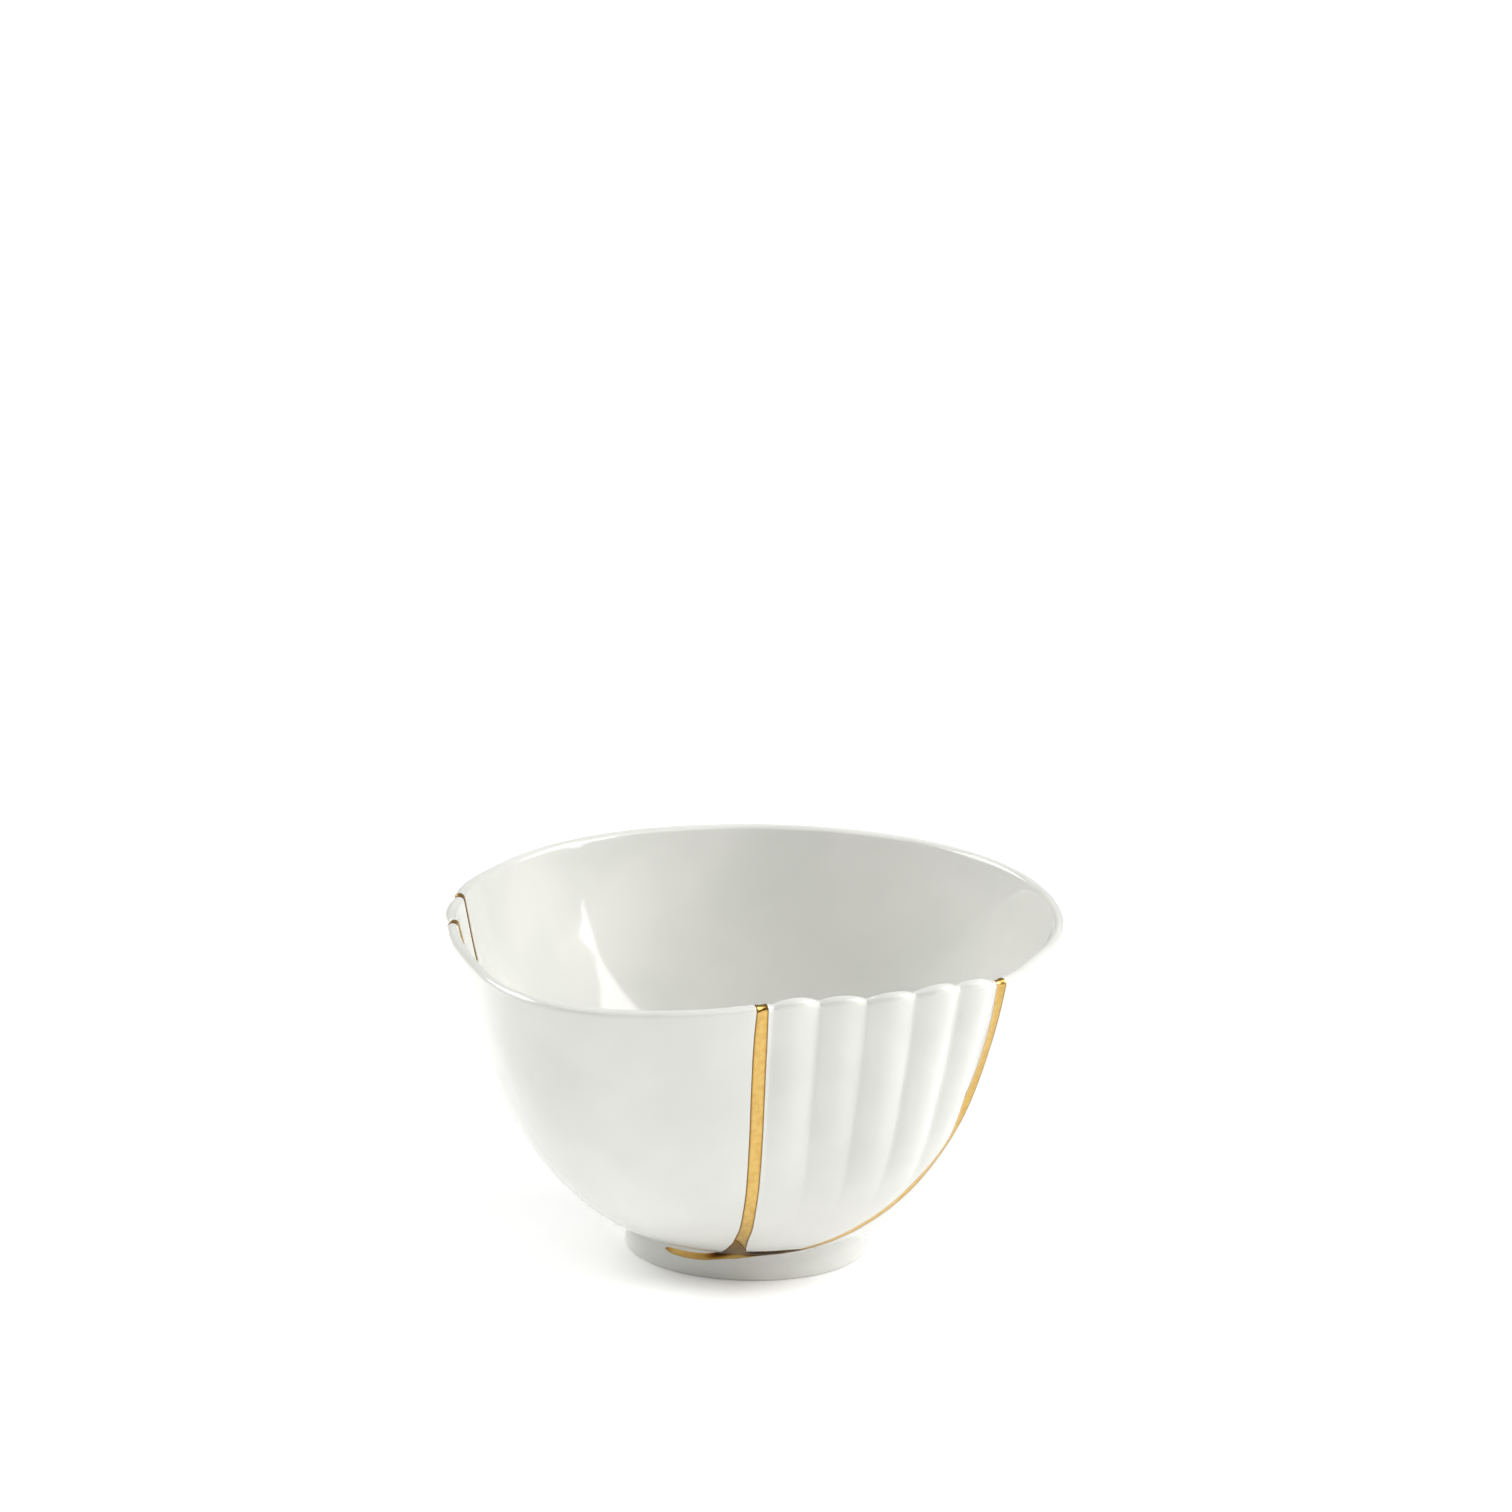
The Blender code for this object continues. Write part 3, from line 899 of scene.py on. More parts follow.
    def wall_layers(self, builder: bmesh.types.BMesh,
                    lines: Sequence[Upright]) -> Tuple[List[Layer], List[Layer], List[Layer]]:
        """Rings of the wall outside, over the rim and inside.

        Args:
            builder: Mesh that takes the points.
            lines: Upright lines of the mesh.

        Returns:
            Outer layers from low to high, crests from outside to inside, and inner layers from low to high.
        """
        rows = self.wall_rows()
        outer, inner = [], []
        for height in rows:
            sides = [self.sides(line, height) for line in lines]
            outer.append(Layer(True, height, [builder.verts.new(face) for face, _, _ in sides]))
            if height >= self.front.foot:
                inner.append(Layer(True, height, [builder.verts.new(back) for _, back, _ in sides]))
        arcs = [half_round(*self.sides(line, rows[-1]), self.rim_steps) for line in lines]
        crests = [Layer(True, rows[-1], [builder.verts.new(spot) for spot in ring]) for ring in zip(*arcs)]
        return outer, crests, inner

    def sides(self, line: Upright, height: float) -> Tuple[Vector, Vector, Vector]:
        """Both skins of the wall on one upright line.

        Args:
            line: Upright line of the mesh.
            height: Height above the table.

        Returns:
            Outer point, inner point and the direction in which the wall rises.
        """
        azimuth, drop = line.read(self.wall, height)
        skin = self.wall.skin(azimuth, height)
        inner = skin.place - skin.outward * (self.wall.thickness - drop)
        return skin.place - skin.outward * drop, inner, skin.upward

    def floor_layers(self, builder: bmesh.types.BMesh, edge: Layer) -> List[Layer]:
        """Rings of the floor inside the bowl.

        Args:
            builder: Mesh that takes the points.
            edge: Lowest layer of the inner wall.

        Returns:
            Layers from the wall to the axis.
        """
        spots = [vertex.co.copy() for vertex in edge.ring]
        layers = []
        for share in self.floor_rings:
            lift = self.floor_top + self.floor_rise * share ** 2
            blend = soft_step(self.floor_blend, 1.0, share)
            ring = []
            for spot in spots:
                height = lift * (1.0 - blend) + spot.z * blend
                ring.append(builder.verts.new((spot.x * share, spot.y * share, height)))
            layers.append(Layer(False, 0.0, ring))
        return layers

    def cut_height(self, stretch: Stretch) -> float:
        """Height over which an opening cuts a stretch away, endless where none does."""
        cuts = {Stretch.UNDER_SIDE: self.side.foot, Stretch.UNDER_FRONT: self.front.foot}
        return cuts.get(stretch, math.inf)

    def skin_layers(self, builder: bmesh.types.BMesh, lines: Sequence[Upright],
                    layers: Sequence[Layer]) -> None:
        """Joins neighbouring layers with faces, except in the openings.

        Args:
            builder: Mesh that takes the faces.
            lines: Upright lines of the mesh.
            layers: Layers in order through the section.
        """
        for here, there in zip(layers, layers[1:]):
            level = min(here.height, there.height) if here.walled and there.walled else 0.0
            for place, line in enumerate(lines):
                if level >= self.cut_height(line.stretch) - SAME_ROW:
                    continue
                after = (place + 1) % len(lines)
                builder.faces.new((here.ring[place], here.ring[after], there.ring[after], there.ring[place]))

    def close_ends(self, builder: bmesh.types.BMesh, layers: Sequence[Layer]) -> None:
        """Closes the underside and the floor at the axis.

        Args:
            builder: Mesh that takes the faces.
            layers: Layers in order through the section.
        """
        for layer, height in ((layers[0], self.recess), (layers[-1], self.floor_top)):
            middle = builder.verts.new((0.0, 0.0, height))
            for here, after in zip(layer.ring, layer.ring[1:] + layer.ring[:1]):
                builder.faces.new((middle, here, after))

    def close_openings(self, builder: bmesh.types.BMesh, lines: Sequence[Upright], outer: Sequence[Layer],
                       crests: Sequence[Layer], inner: Sequence[Layer]) -> None:
        """Closes the wall's thickness where the openings cut through it.

        Args:
            builder: Mesh that takes the faces.
            lines: Upright lines of the mesh.
            outer: Outer layers from low to high.
            crests: Layers over the rim from outside to inside.
            inner: Inner layers from low to high.
        """
        for stretch in (Stretch.UNDER_SIDE, Stretch.UNDER_FRONT):
            sill = self.cut_height(stretch) - SAME_ROW
            face = [layer.ring for layer in outer if layer.height >= sill]
            back = [layer.ring for layer in inner if layer.height >= sill]
            places = [place for place, line in enumerate(lines) if line.stretch is stretch]
            ends = places + [(places[-1] + 1) % len(lines)]
            for end in (ends[0], ends[-1]):
                join_sheet(builder, [(front[end], rear[end]) for front, rear in zip(face, back)])
                builder.faces.new([face[-1][end]] + [crest.ring[end] for crest in crests] + [back[-1][end]])
            join_sheet(builder, [(face[0][place], back[0][place]) for place in ends])


@dataclass
class Shard:
    """Foreign piece of wall with its own relief, let into an opening."""

    wall: BowlWall
    opening: Opening
    steps: int
    rows: int
    inner_share: float = 0.5
    row_crowding: float = 1.1
    # Depth under the rim over which its arches rise
    lift_depth: float = 12.0 * MM
    rim_steps: int = 14

    def relief(self, azimuth: float, height: float, share: float) -> float:
        """Outward shift of the outer skin.

        Args:
            azimuth: Direction in radians.
            height: Height above the table.
            share: Place from the left edge to the right edge.

        Returns:
            Shift in metres.
        """
        return 0.0

    def lift(self, azimuth: float) -> float:
        """Rise of the rim above the plain rim, by direction in radians."""
        return 0.0

    def rim_rise(self, azimuth: float, height: float) -> float:
        """Rise of the wall towards the arched rim, by direction in radians and height."""
        return self.lift(azimuth) * soft_step(self.wall.spring - self.lift_depth, self.wall.spring, height)

    def shares(self) -> List[float]:
        """Places of the upright lines, closer together at both edges.

        Returns:
            Shares of the width from left to right.
        """
        edge = self.opening.edge_round / self.span()
        close = [0.0] + [edge * share for share in EDGE_SHARES]
        even = [step / self.steps for step in range(1, self.steps)]
        even = [share for share in even if close[-1] < share < 1.0 - close[-1]]
        return close + even + [1.0 - share for share in reversed(close)]

    def span(self) -> float:
        """Width of the shard at its rim.

        Returns:
            Width along the wall.
        """
        left = self.opening.left_edge(self.wall.spring, Edge.INSIDE)
        right = self.opening.right_edge(self.wall.spring, Edge.INSIDE)
        return (right - left) * self.wall.point(left, self.wall.spring).xy.length

    def build(self, name: str, node: str, bench: Workbench, glaze: GlazedPorcelain) -> bpy.types.Object:
        """Builds the shard and dresses it.

        Args:
            name: Name of the piece.
            node: Solid that the piece stands for.
            bench: Places and registers the mesh.
            glaze: Finish of the porcelain.

        Returns:
            The new object.
        """
        wall = self.wall
        builder = bmesh.new()
        heights = crowded_heights(self.opening.inner_foot, wall.spring, self.rows, self.row_crowding)
        columns = []
        for share in self.shares():
            columns.append([builder.verts.new(spot) for spot in self.section(share, heights)])
        self.skin_columns(builder, columns)
        return bench.finish(name, builder, node, glaze.material("glazed_" + name))

    def section(self, share: float, heights: Sequence[float]) -> List[Vector]:
        """Upright section of the shard, up the outside, over the rim and down the inside.

        Args:
            share: Place from the left edge to the right edge.
            heights: Heights of the rows.

        Returns:
            Points of the section.
        """
        outer, inner = [], []
        for height in heights:
            left = self.opening.left_edge(height, Edge.INSIDE)
            right = self.opening.right_edge(height, Edge.INSIDE)
            azimuth = left + (right - left) * share
            skin = self.wall.skin(azimuth, height + self.rim_rise(azimuth, height))
            gap = min(share, 1.0 - share) * (right - left) * skin.place.xy.length
            drop = self.opening.drop(gap)
            shift = self.relief(azimuth, height, share)
            depth = self.wall.thickness - shift * self.inner_share - drop
            outer.append(skin.place + skin.outward * (shift - drop))
            inner.append(skin.place - skin.outward * depth)
        return outer + half_round(outer[-1], inner[-1], skin.upward, self.rim_steps) + inner[::-1]

    def skin_columns(self, builder: bmesh.types.BMesh, columns: Sequence[List[bmesh.types.BMVert]]) -> None:
        """Joins the sections with faces and closes both sides and the sill.

        Args:
            builder: Mesh that takes the faces.
            columns: Points of the sections from left to right.
        """
        join_sheet(builder, columns)
        for here, there in zip(columns, columns[1:]):
            builder.faces.new((here[-1], there[-1], there[0], here[0]))
        levels = self.rows + 1
        for column in (columns[0], columns[-1]):
            join_sheet(builder, list(zip(column[:levels], column[:-levels - 1:-1])))
            builder.faces.new(column[levels - 1:len(column) - levels + 1])


@dataclass
class FlutedShard(Shard):
    """Wide shard with upright flutes whose backs arch at the rim."""

    start: float = -85.1
    pitch: float = 9.5
    fan: float = 0.235
    rise: float = 2.4 * MM
    fade: Tuple[float, float] = (24.0 * MM, 72.0 * MM)
    arch: float = 2.1 * MM
    groove: float = 0.06

    def crown(self, azimuth: float, height: float) -> float:
        """Height share of the flute's back, 0 in its grooves and 1 on its crown.

        Args:
            azimuth: Direction in radians.
            height: Height above the table.

        Returns:
            Share from 0 to 1.
        """
        spread = 1.0 + self.fan * (1.0 - height / self.wall.rim_top)
        phase = (math.degrees(azimuth) - self.start) / (self.pitch * spread)
        share = phase - math.floor(phase)
        arc = 1.0 - (2.0 * share - 1.0) ** 2
        return math.hypot(arc, self.groove) - self.groove

    def relief(self, azimuth: float, height: float, share: float) -> float:
        """Outward shift of the flutes, by direction, height and place."""
        strength = soft_step(self.fade[0], self.fade[1], height)
        return self.rise * (self.crown(azimuth, height) - 0.5) * strength

    def lift(self, azimuth: float) -> float:
        """Rise of the arched rim over each flute, by direction in radians."""
        return self.arch * (self.crown(azimuth, self.wall.rim_top) - 0.5)


@dataclass
class LobedShard(Shard):
    """Narrow shard with a single rounded back."""

    rise: float = 1.8 * MM
    sink: float = 0.35
    fade: Tuple[float, float] = (64.0 * MM, 98.0 * MM)

    def relief(self, azimuth: float, height: float, share: float) -> float:
        """Outward shift of the lobe, by direction, height and place."""
        back = 1.0 - (2.0 * share - 1.0) ** 2
        return self.rise * (back - self.sink) * soft_step(self.fade[0], self.fade[1], height)


class GoldSpot(NamedTuple):
    """Place across the gold: its two faces, the direction up and how much shade is painted on it."""

    outer: Vector
    inner: Vector
    upward: Vector
    shade_amount: float


def gold_point(builder: bmesh.types.BMesh, painted_shade: bmesh.types.BMLayerItem, place: Vector,
               shade_amount: float) -> bmesh.types.BMVert:
    """Adds one point of gold.

    Args:
        builder: Mesh that takes the point.
        painted_shade: Vertex layer that says how much shade is painted on the gold.
        place: Where the point lies.
        shade_amount: From 0 where the gold is bright to 1 where it is painted darkest as shade.

    Returns:
        The new point.
    """
    vertex = builder.verts.new(place)
    vertex[painted_shade] = shade_amount
    return vertex


@dataclass
class GoldSeam:
    """Gold band through the wall, over the rim and under its shard."""

    wall: BowlWall
    opening: Opening
    shard: Shard
    leg_steps: int
    sill_steps: int
    lanes: int = 10
    leg_crowding: float = 1.2
    trim: float = 0.02 * MM
    edge_level: float = -0.1 * MM
    middle_level: float = -0.3 * MM
    # Painted shade at the band's edges, and between which shares of its width it ends
    edge_shade: float = 0.75
    edge_fade: Pair = (0.02, 0.13)
    rim_steps: int = 14

    def pairs(self) -> List[Tuple[Pair, Pair]]:
        """Outer and inner edge points along the seam, from rim to rim.

        Returns:
            Azimuth and height of the outer edge and of the inner edge.
        """
        spring = self.wall.spring
        cut = self.opening
        down, up = [], []
        for step in range(self.leg_steps):
            share = 1.0 - (1.0 - step / self.leg_steps) ** self.leg_crowding
            high = spring + (cut.foot - spring) * share
            low = spring + (cut.inner_foot - spring) * share
            down.append(((cut.left_edge(high, Edge.OUTSIDE, self.trim), high),
                         (cut.left_edge(low, Edge.INSIDE, self.trim), low)))
            up.append(((cut.right_edge(high, Edge.OUTSIDE, self.trim), high),
                       (cut.right_edge(low, Edge.INSIDE, self.trim), low)))
        sill = []
        ends = []
        for height, edge in ((cut.foot, Edge.OUTSIDE), (cut.inner_foot, Edge.INSIDE)):
            left, right = cut.left_edge(height, edge, self.trim), cut.right_edge(height, edge, self.trim)
            ends.append((left, right, height))
        for step in range(self.sill_steps + 1):
            share = step / self.sill_steps
            sill.append(tuple((first + (last - first) * share, height) for first, last, height in ends))
        return down + sill + up[::-1]

    def build(self, name: str, node: str, bench: Workbench, gold: FiredGold) -> bpy.types.Object:
        """Builds the seam and dresses it.

        Args:
            name: Name of the piece.
            node: Solid that the piece stands for.
            bench: Places and registers the mesh.
            gold: Finish of the seam.

        Returns:
            The new object.
        """
        builder = bmesh.new()
        painted_shade = builder.verts.layers.float.new("painted_shade")
        self.band(builder, painted_shade)
        self.extra(builder, painted_shade)
        return bench.finish(name, builder, node, gold.material("fired_" + name))

    def extra(self, builder: bmesh.types.BMesh, painted_shade: bmesh.types.BMLayerItem) -> None:
        """Hook for gold beyond the band, with the mesh and its layer of painted shade."""

    def rim_step_shade(self, index: int, share: float, step: int) -> float:
        """Painted shade on the gold over the rim, by end of the seam, place across it and step over the rim.
        """
        return 0.0

    def cross(self, share: float, right: bool) -> Pair:
        """Level and painted shade across the band.

        Args:
            share: Place from the outer edge to the inner edge.
            right: Whether this is the right leg, whose inner edge gets no painted shade.

        Returns:
            Height over the skin and how much shade is painted on the gold, from 0 to 1.
        """
        away = min(share, 1.0 - share)
        level = self.edge_level + (self.middle_level - self.edge_level) * soft_step(0.0, 0.5, away)
        # Painted shade: on the right leg and the sill only the outer half, beside the body, is darkened
        if right and share > 0.5:
            return level, 0.0
        return level, self.edge_shade * (1.0 - soft_step(*self.edge_fade, away))

    def spot(self, pair: Tuple[Pair, Pair], right: bool, share: float) -> GoldSpot:
        """Place across the band, level with the body at its outer edge and with the shard at its inner edge.

        Args:
            pair: Outer and inner edge points of the band.
            right: Whether this is the right leg.
            share: Place from the outer edge to the inner edge.

        Returns:
            The place.
        """
        (body_turn, body_height), (shard_turn, shard_height) = pair
        azimuth = body_turn + (shard_turn - body_turn) * share
        height = body_height + (shard_height - body_height) * share
        follow = soft_step(0.0, 1.0, share)
        skin = self.wall.skin(azimuth, height + self.shard.rim_rise(shard_turn, height) * follow)
        shift = self.shard.relief(shard_turn, height, float(right)) * follow
        level, shade_amount = self.cross(share, right)
        reach = shift * self.shard.inner_share - self.wall.thickness - level
        outer = skin.place + skin.outward * (shift + level)
        return GoldSpot(outer, skin.place + skin.outward * reach, skin.upward, shade_amount)

    def band(self, builder: bmesh.types.BMesh, painted_shade: bmesh.types.BMLayerItem) -> None:
        """Builds the band itself.

        Args:
            builder: Mesh that takes the band.
            painted_shade: Vertex layer that says how much shade is painted on the gold.
        """
        pairs = self.pairs()
        faces, backs = [], []
        for index, pair in enumerate(pairs):
            right = index > self.leg_steps
            spots = [self.spot(pair, right, lane / self.lanes) for lane in range(self.lanes + 1)]
            faces.append([gold_point(builder, painted_shade, spot.outer, spot.shade_amount) for spot in spots])
            backs.append([gold_point(builder, painted_shade, spot.inner, spot.shade_amount) for spot in spots])
            if index in (0, len(pairs) - 1):
                fan = []
                for lane, spot in enumerate(spots):
                    crest = self.crest(builder, painted_shade, index, lane / self.lanes, spot)
                    fan.append([faces[-1][lane]] + crest + [backs[-1][lane]])
                join_sheet(builder, fan)
                builder.faces.new(fan[0])
                builder.faces.new(fan[-1])
        join_sheet(builder, faces)
        join_sheet(builder, backs)
        for lane in (0, self.lanes):
            join_sheet(builder, [(face[lane], back[lane]) for face, back in zip(faces, backs)])

    def crest(self, builder: bmesh.types.BMesh, painted_shade: bmesh.types.BMLayerItem, index: int, share: float,
              spot: GoldSpot) -> List[bmesh.types.BMVert]:
        """Points of the gold over the rim.

        Args:
            builder: Mesh that takes the points.
            painted_shade: Vertex layer that says how much shade is painted on the gold.
            index: Place along the seam.
            share: Place from the outer edge to the inner edge.
            spot: Top of the band there.

        Returns:
            Points from outside to inside.
        """
        points = []
        for step, place in enumerate(half_round(spot.outer, spot.inner, spot.upward, self.rim_steps), 1):
            shade_amount = max(spot.shade_amount, self.rim_step_shade(index, share, step))
            points.append(gold_point(builder, painted_shade, place, shade_amount))
        return points


@dataclass
class FrontSeam(GoldSeam):
    """Front seam, whose foot runs on to the left as a tapered tail over the ring."""

    # Tail's azimuth in degrees, with its lower and upper edge in mm over the table
    tail: Tuple[Station, ...] = (
        (-64.0, 8.9, 10.1),
        (-68.0, 8.3, 10.2),
        (-75.0, 7.9, 10.2),
        (-82.0, 7.4, 10.2),
        (-88.4, 6.8, 11.0),
        (-91.0, 6.6, 15.5),
        (-92.8, 6.4, 18.0),
        (-94.5, 6.3, 16.0),
        (-97.3, 6.15, 12.6),
        (-100.0, 6.0, 10.4),
        (-103.0, 5.8, 8.8),
        (-107.0, 5.5, 7.8),
        (-112.0, 5.25, 7.4),
        (-118.0, 5.1, 7.2),
        (-125.0, 5.25, 7.2),
        (-130.5, 5.55, 7.1),
        (-134.0, 6.0, 6.8),
    )
    tail_level: float = 0.22 * MM
    tail_steps: int = 110
    # Mesh lines across the tail, as shares of its width
    tail_lines: Tuple[float, ...] = (
        0.0, 0.03, 0.07, 0.13, 0.22, 0.34, 0.5, 0.66, 0.78, 0.87, 0.93, 0.97, 1.0)
    # How steeply the tail's ends flatten, and the widths of its swell and of its edge with painted shade
    tail_taper: float = 8.0
    tail_swell: float = 0.6 * MM
    tail_edge: float = 0.45 * MM
    # Painted shade along both edges of the tail
    tail_edge_shade: float = 0.7
    # Azimuths in degrees along the tail, with how much shadow of the belly's overhang is painted on its upper
    # edge
    belly_shadows: Tuple[Pair, ...] = (
        (-64.0, 0.5),
        (-70.0, 0.75),
        (-78.0, 1.0),
        (-86.0, 0.95),
        (-90.0, 0.5),
        (-95.0, 0.5),
        (-98.5, 1.0),
        (-104.0, 0.9),
        (-109.0, 0.4),
        (-126.0, 0.2),
        (-134.0, 0.8),
    )
    # Share of the tail's width, from its lower edge, over which the painted shadow builds up
    belly_shadow_rise: float = 0.45
    # Painted shade of the step where the left leg crosses the rim, a dark stroke: where it starts, how it
    # slants and how wide it is
    rim_shade_start: float = 0.12
    rim_shade_slant: float = 0.72
    rim_shade_width: float = 0.3

    def rim_step_shade(self, index: int, share: float, step: int) -> float:
        """Painted shade of the step at the rim, as a dark slanting stroke on the left leg.

        Args:
            index: Place along the seam.
            share: Place from the outer edge to the inner edge.
            step: Step over the rim.

        Returns:
            Painted shade from 0 to 1.
        """
        if index > 0 or step > self.rim_steps // 2:
            return 0.0
        climb = math.sin(math.pi * step / self.rim_steps)
        return max(0.0, 1.0 - abs(climb - self.rim_shade_start - self.rim_shade_slant * share) / self.rim_shade_width)

    def extra(self, builder: bmesh.types.BMesh, painted_shade: bmesh.types.BMLayerItem) -> None:
        """Adds the tail, with painted shade on its edges and the belly's shadow painted along its upper part.

        Args:
            builder: Mesh that takes the tail.
            painted_shade: Vertex layer that says how much shade is painted on the gold.
        """
        turns = [-azimuth for azimuth, _, _ in self.tail]
        lows = [low * MM for _, low, _ in self.tail]
        highs = [high * MM for _, _, high in self.tail]
        belly_shadow_turns = [-azimuth for azimuth, _ in self.belly_shadows]
        belly_shadows = [belly_shadow for _, belly_shadow in self.belly_shadows]
        rings = []
        for step in range(self.tail_steps + 1):
            along = step / self.tail_steps
            turn = turns[0] + (turns[-1] - turns[0]) * along
            low, high = through(turns, lows, turn), through(turns, highs, turn)
            belly_shadow = through(belly_shadow_turns, belly_shadows, turn)
            end = min(1.0, self.tail_taper * along, self.tail_taper * (1.0 - along))
            ring = []
            for share in self.tail_lines:
                spot, outward = self.wall.skirt(math.radians(-turn), low + (high - low) * share)
                away = min(share, 1.0 - share) * (high - low)
                swell = end * soft_step(0.0, self.tail_swell, away)
                level = self.edge_level + (self.tail_level - self.edge_level) * swell
                # Painted shade along the tail's edges, and the painted shadow of the belly over its upper
                # part
                edge = self.tail_edge_shade * (1.0 - soft_step(0.0, self.tail_edge, away))
                shade_amount = max(edge, belly_shadow * soft_step(0.0, self.belly_shadow_rise, share))
                ring.append(gold_point(builder, painted_shade, spot + outward * level, shade_amount))
            rings.append(ring)
        join_sheet(builder, rings)


class SoftBox(NamedTuple):
    """Soft box that faces the bowl, with azimuth and elevation in degrees and power in watts."""

    name: str
    turn: float
    climb: float
    power: float


@dataclass
class Studio:
    """Pale floor, soft lights and the camera."""

    centre: Vector
    distance: float = 5.0
    elevation: float = math.radians(17.68)
    roll: float = math.radians(1.53)
    frame_mm: float = 464.2
    aside_mm: float = 1.0
    above_mm: float = 49.0
    sensor_mm: float = 36.0
    clip: Pair = (0.1, 100.0)
    floor_reach: float = 20.0
    # Distances behind the bowl between which the floor's glow grows, and its strengths there
    glow_span: Pair = (0.3, 1.0)
    glow: Pair = (0.07, 0.3)
    room_glow: float = 0.25
    box_reach: float = 2.0
    box_size: Pair = (1.6, 1.0)
    boxes: Tuple[SoftBox, ...] = (
        SoftBox("right_box", 8.0, 42.0, 5.0),
        SoftBox("left_box", 158.0, 34.0, 29.0),
        SoftBox("front_left_box", -125.0, 58.0, 9.0),
        SoftBox("front_right_box", -35.0, 52.0, 12.0),
    )
    # Corners of the window card as azimuth and elevation in degrees, with its low point first
    window_corners: Tuple[Pair, ...] = (
        (-12.0, 10.0), (-30.0, 26.0), (-16.0, 46.0), (28.0, 46.0), (24.0, 14.0))
    window_reach: float = 1.9
    window_glow: float = 6.2

    def build(self) -> None:
        """Adds the camera, the floor and all lights."""
        self.camera()
        self.floor()
        self.sky()
        for box in self.boxes:
            self.light(box)
        self.window()

    def camera(self) -> bpy.types.Object:
        """Adds the camera, a long lens a little above the rim.

        Returns:
            The camera object.
        """
        forward = Vector((0.0, math.cos(self.elevation), -math.sin(self.elevation)))
        right = Vector((1.0, 0.0, 0.0))
        up = right.cross(forward)
        side = right * math.cos(self.roll) + up * math.sin(self.roll)
        top = up * math.cos(self.roll) - right * math.sin(self.roll)
        aim = self.centre + side * self.aside_mm * MM + top * self.above_mm * MM
        spot = self.centre - forward * self.distance
        ahead = (aim - spot).normalized()
        across = (side - ahead * side.dot(ahead)).normalized()
        rows = Matrix((across, across.cross(ahead), -ahead)).transposed()
        lens = bpy.data.cameras.new("camera")
        lens.sensor_width = self.sensor_mm
        lens.lens = self.sensor_mm * self.distance / (self.frame_mm * MM)
        lens.clip_start, lens.clip_end = self.clip
        camera = bpy.data.objects.new("camera", lens)
        camera.matrix_world = Matrix.Translation(spot) @ rows.to_4x4()
        bpy.context.scene.collection.objects.link(camera)
        bpy.context.scene.camera = camera
        return camera

    def floor(self) -> bpy.types.Object:
        """Adds the pale floor, which glows a little more far behind the bowl, out of the boxes' reach.

        Returns:
            The floor object.
        """
        builder = bmesh.new()
        bmesh.ops.create_grid(builder, x_segments=1, y_segments=1, size=self.floor_reach)
        mesh = bpy.data.meshes.new("floor")
        builder.to_mesh(mesh)
        builder.free()
        paint = bpy.data.materials.new("pale_paper")
        paint.use_nodes = True
        tree = paint.node_tree
        shader = tree.nodes["Principled BSDF"]
        shader.inputs["Base Color"].default_value = linear("#FFFFFF")
        shader.inputs["Roughness"].default_value = 0.9
        shader.inputs["Specular IOR Level"].default_value = 0.1
        shader.inputs["Emission Color"].default_value = linear("#FFFFFF")
        where = add_node(tree, "ShaderNodeTexCoord").outputs["Object"]
        parts = add_node(tree, "ShaderNodeSeparateXYZ", links={0: where})
        glow = add_node(tree, "ShaderNodeMapRange",
                        {"From Min": self.glow_span[0], "From Max": self.glow_span[1],
                         "To Min": self.glow[0], "To Max": self.glow[1]},
                        {"Value": parts.outputs[1]})
        tree.links.new(glow.outputs[0], shader.inputs["Emission Strength"])
        mesh.materials.append(paint)
        floor = bpy.data.objects.new("floor", mesh)
        bpy.context.scene.collection.objects.link(floor)
        return floor

    def light(self, box: SoftBox) -> None:
        """Adds one soft box.

        Args:
            box: Name, place and power of the box.
        """
        lamp = bpy.data.lights.new(box.name, "AREA")
        lamp.shape = "RECTANGLE"
        lamp.size, lamp.size_y = self.box_size
        lamp.energy = box.power
        facing = self.facing(box.turn, box.climb)
        light = bpy.data.objects.new(box.name, lamp)
        light.location = self.centre + facing * self.box_reach
        light.rotation_euler = facing.to_track_quat("Z", "Y").to_euler()
        bpy.context.scene.collection.objects.link(light)

    def facing(self, turn: float, climb: float) -> Vector:
        """Direction from the bowl for an azimuth and an elevation in degrees."""
        return around(math.radians(turn), math.cos(math.radians(climb)), math.sin(math.radians(climb)))

    def window(self) -> bpy.types.Object:
        """Adds a bright window card, pointed at its lower end.

        Returns:
            The card.
        """
        builder = bmesh.new()
        spots = [self.centre + self.facing(turn, climb) * self.window_reach
                 for turn, climb in self.window_corners]
        builder.faces.new([builder.verts.new(spot) for spot in spots])
        mesh = bpy.data.meshes.new("window")
        builder.to_mesh(mesh)
        builder.free()
        paint = bpy.data.materials.new("window_light")
        paint.use_nodes = True
        shader = paint.node_tree.nodes["Principled BSDF"]
        shader.inputs["Base Color"].default_value = linear("#000000")
        shader.inputs["Emission Color"].default_value = linear("#FFFFFF")
        shader.inputs["Emission Strength"].default_value = self.window_glow
        mesh.materials.append(paint)
        card = bpy.data.objects.new("window", mesh)
        bpy.context.scene.collection.objects.link(card)
        return card

    def sky(self) -> None:
        """Fills the room with even white light, and shows white as pure white."""
        world = bpy.data.worlds.new("white_room")
        world.use_nodes = True
        background = world.node_tree.nodes["Background"]
        background.inputs["Color"].default_value = linear("#FFFFFF")
        background.inputs["Strength"].default_value = self.room_glow
        bpy.context.scene.world = world
        bpy.context.scene.view_settings.view_transform = "Standard"


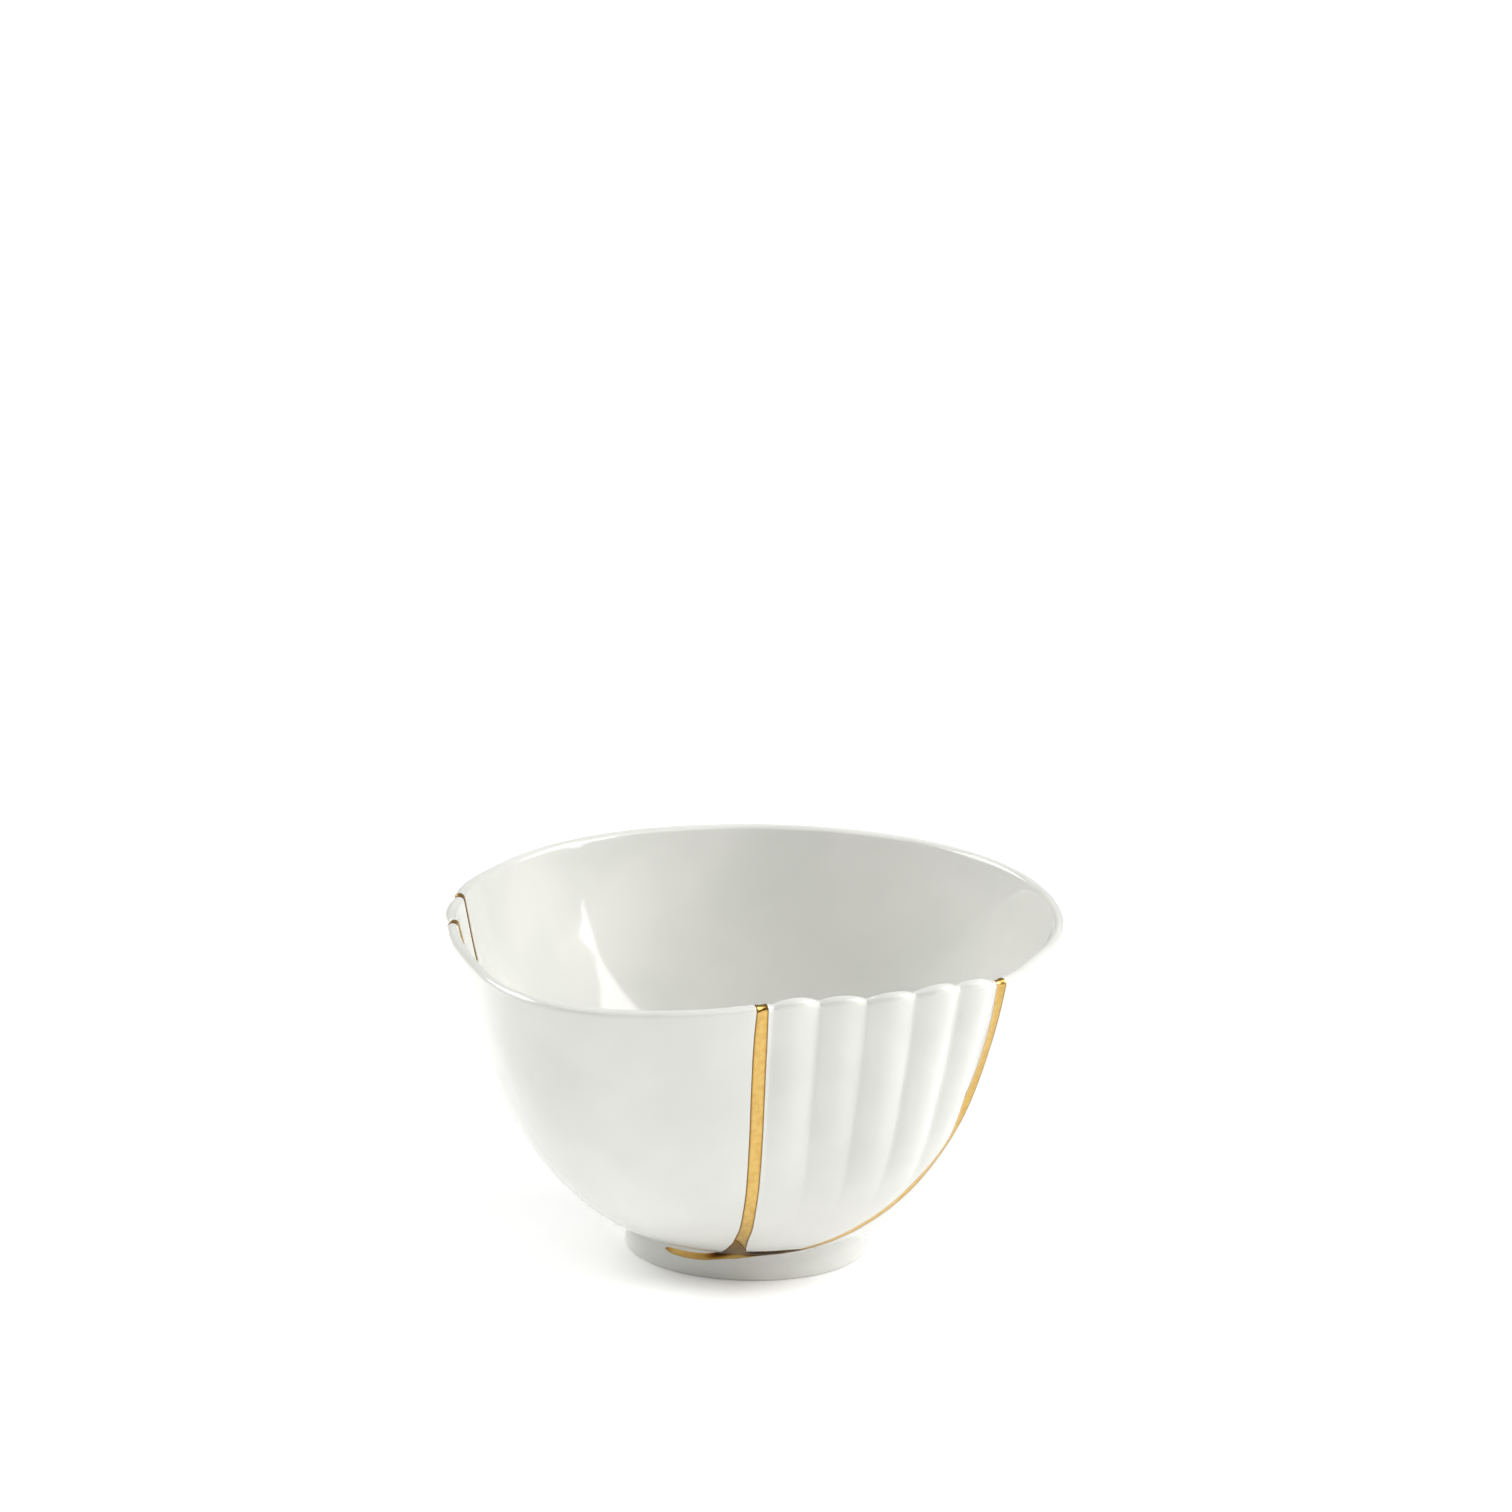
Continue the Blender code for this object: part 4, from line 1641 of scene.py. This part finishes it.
def front_opening(wall: BowlWall) -> Opening:
    """Opening for the fluted shard, between the long leg and the swept leg.

    Args:
        wall: Wall of the bowl.

    Returns:
        The opening.
    """
    long_leg = SeamLine(wall, (
        (9.5, -92.6, 4.2), (12.0, -92.0, 4.2), (17.8, -90.9, 4.2), (22.7, -89.5, 4.0), (31.5, -88.6, 3.9),
        (40.0, -88.1, 4.0), (58.0, -87.8, 4.3), (80.0, -87.8, 4.4), (94.0, -87.7, 4.3), (106.0, -87.5, 3.5)))
    swept_leg = SeamLine(wall, (
        (9.5, -68.0, 3.2), (11.1, -62.5, 3.2), (14.4, -55.2, 3.2), (18.8, -49.3, 3.3), (26.9, -42.0, 3.4),
        (36.5, -37.1, 3.4), (52.1, -32.5, 3.4), (64.7, -31.8, 3.3), (86.0, -33.6, 3.2), (106.0, -36.4, 3.1)))
    return Opening(long_leg, swept_leg, foot=9.6 * MM, inner_foot=11.3 * MM, edge_round=0.45 * MM,
                   edge_drop=0.2 * MM)


def side_opening(wall: BowlWall) -> Opening:
    """Opening for the lobed shard at the left rim, between the back leg and the near leg.

    Args:
        wall: Wall of the bowl.

    Returns:
        The opening.
    """
    back_leg = SeamLine(wall, (
        (60.0, 177.3, 3.0), (75.0, 175.5, 3.0), (89.4, 173.3, 3.0), (98.0, 171.8, 3.0), (106.0, 170.6, 3.0)))
    near_leg = SeamLine(wall, (
        (60.0, 181.6, 3.0), (75.0, 184.6, 3.0), (89.4, 186.8, 3.0), (98.0, 187.4, 3.0), (106.0, 187.6, 3.0)))
    return Opening(back_leg, near_leg, foot=62.0 * MM, inner_foot=66.5 * MM, edge_round=1.5 * MM,
                   edge_drop=0.5 * MM)


def main() -> None:
    """Builds every piece in order and dresses the set."""
    logging.basicConfig(level=logging.INFO)
    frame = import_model()
    LOG.info("nodes: %s", sorted(frame["nodes"]))
    wall = BowlWall()
    front = front_opening(wall)
    side = side_opening(wall)
    bench = Workbench()
    glaze = GlazedPorcelain()
    gold = FiredGold()
    PlainBody(wall, front, side).build(bench, glaze)
    fluted = FlutedShard(wall, front, steps=100, rows=56)
    fluted.build("fluted_piece", "fluted_shard", bench, glaze)
    lobed = LobedShard(wall, side, steps=24, rows=26)
    lobed.build("lobed_piece", "lobed_shard", bench, glaze)
    front_seam = FrontSeam(wall, front, fluted, leg_steps=70, sill_steps=24)
    front_seam.build("front_gold", "gold_seam_front", bench, gold)
    side_seam = GoldSeam(wall, side, lobed, leg_steps=36, sill_steps=4)
    side_seam.build("side_gold", "gold_seam_side", bench, gold)
    Studio(centre=bench.axis + Vector((0.0, 0.0, wall.rim_top))).build()


if __name__ == "__main__":
    main()
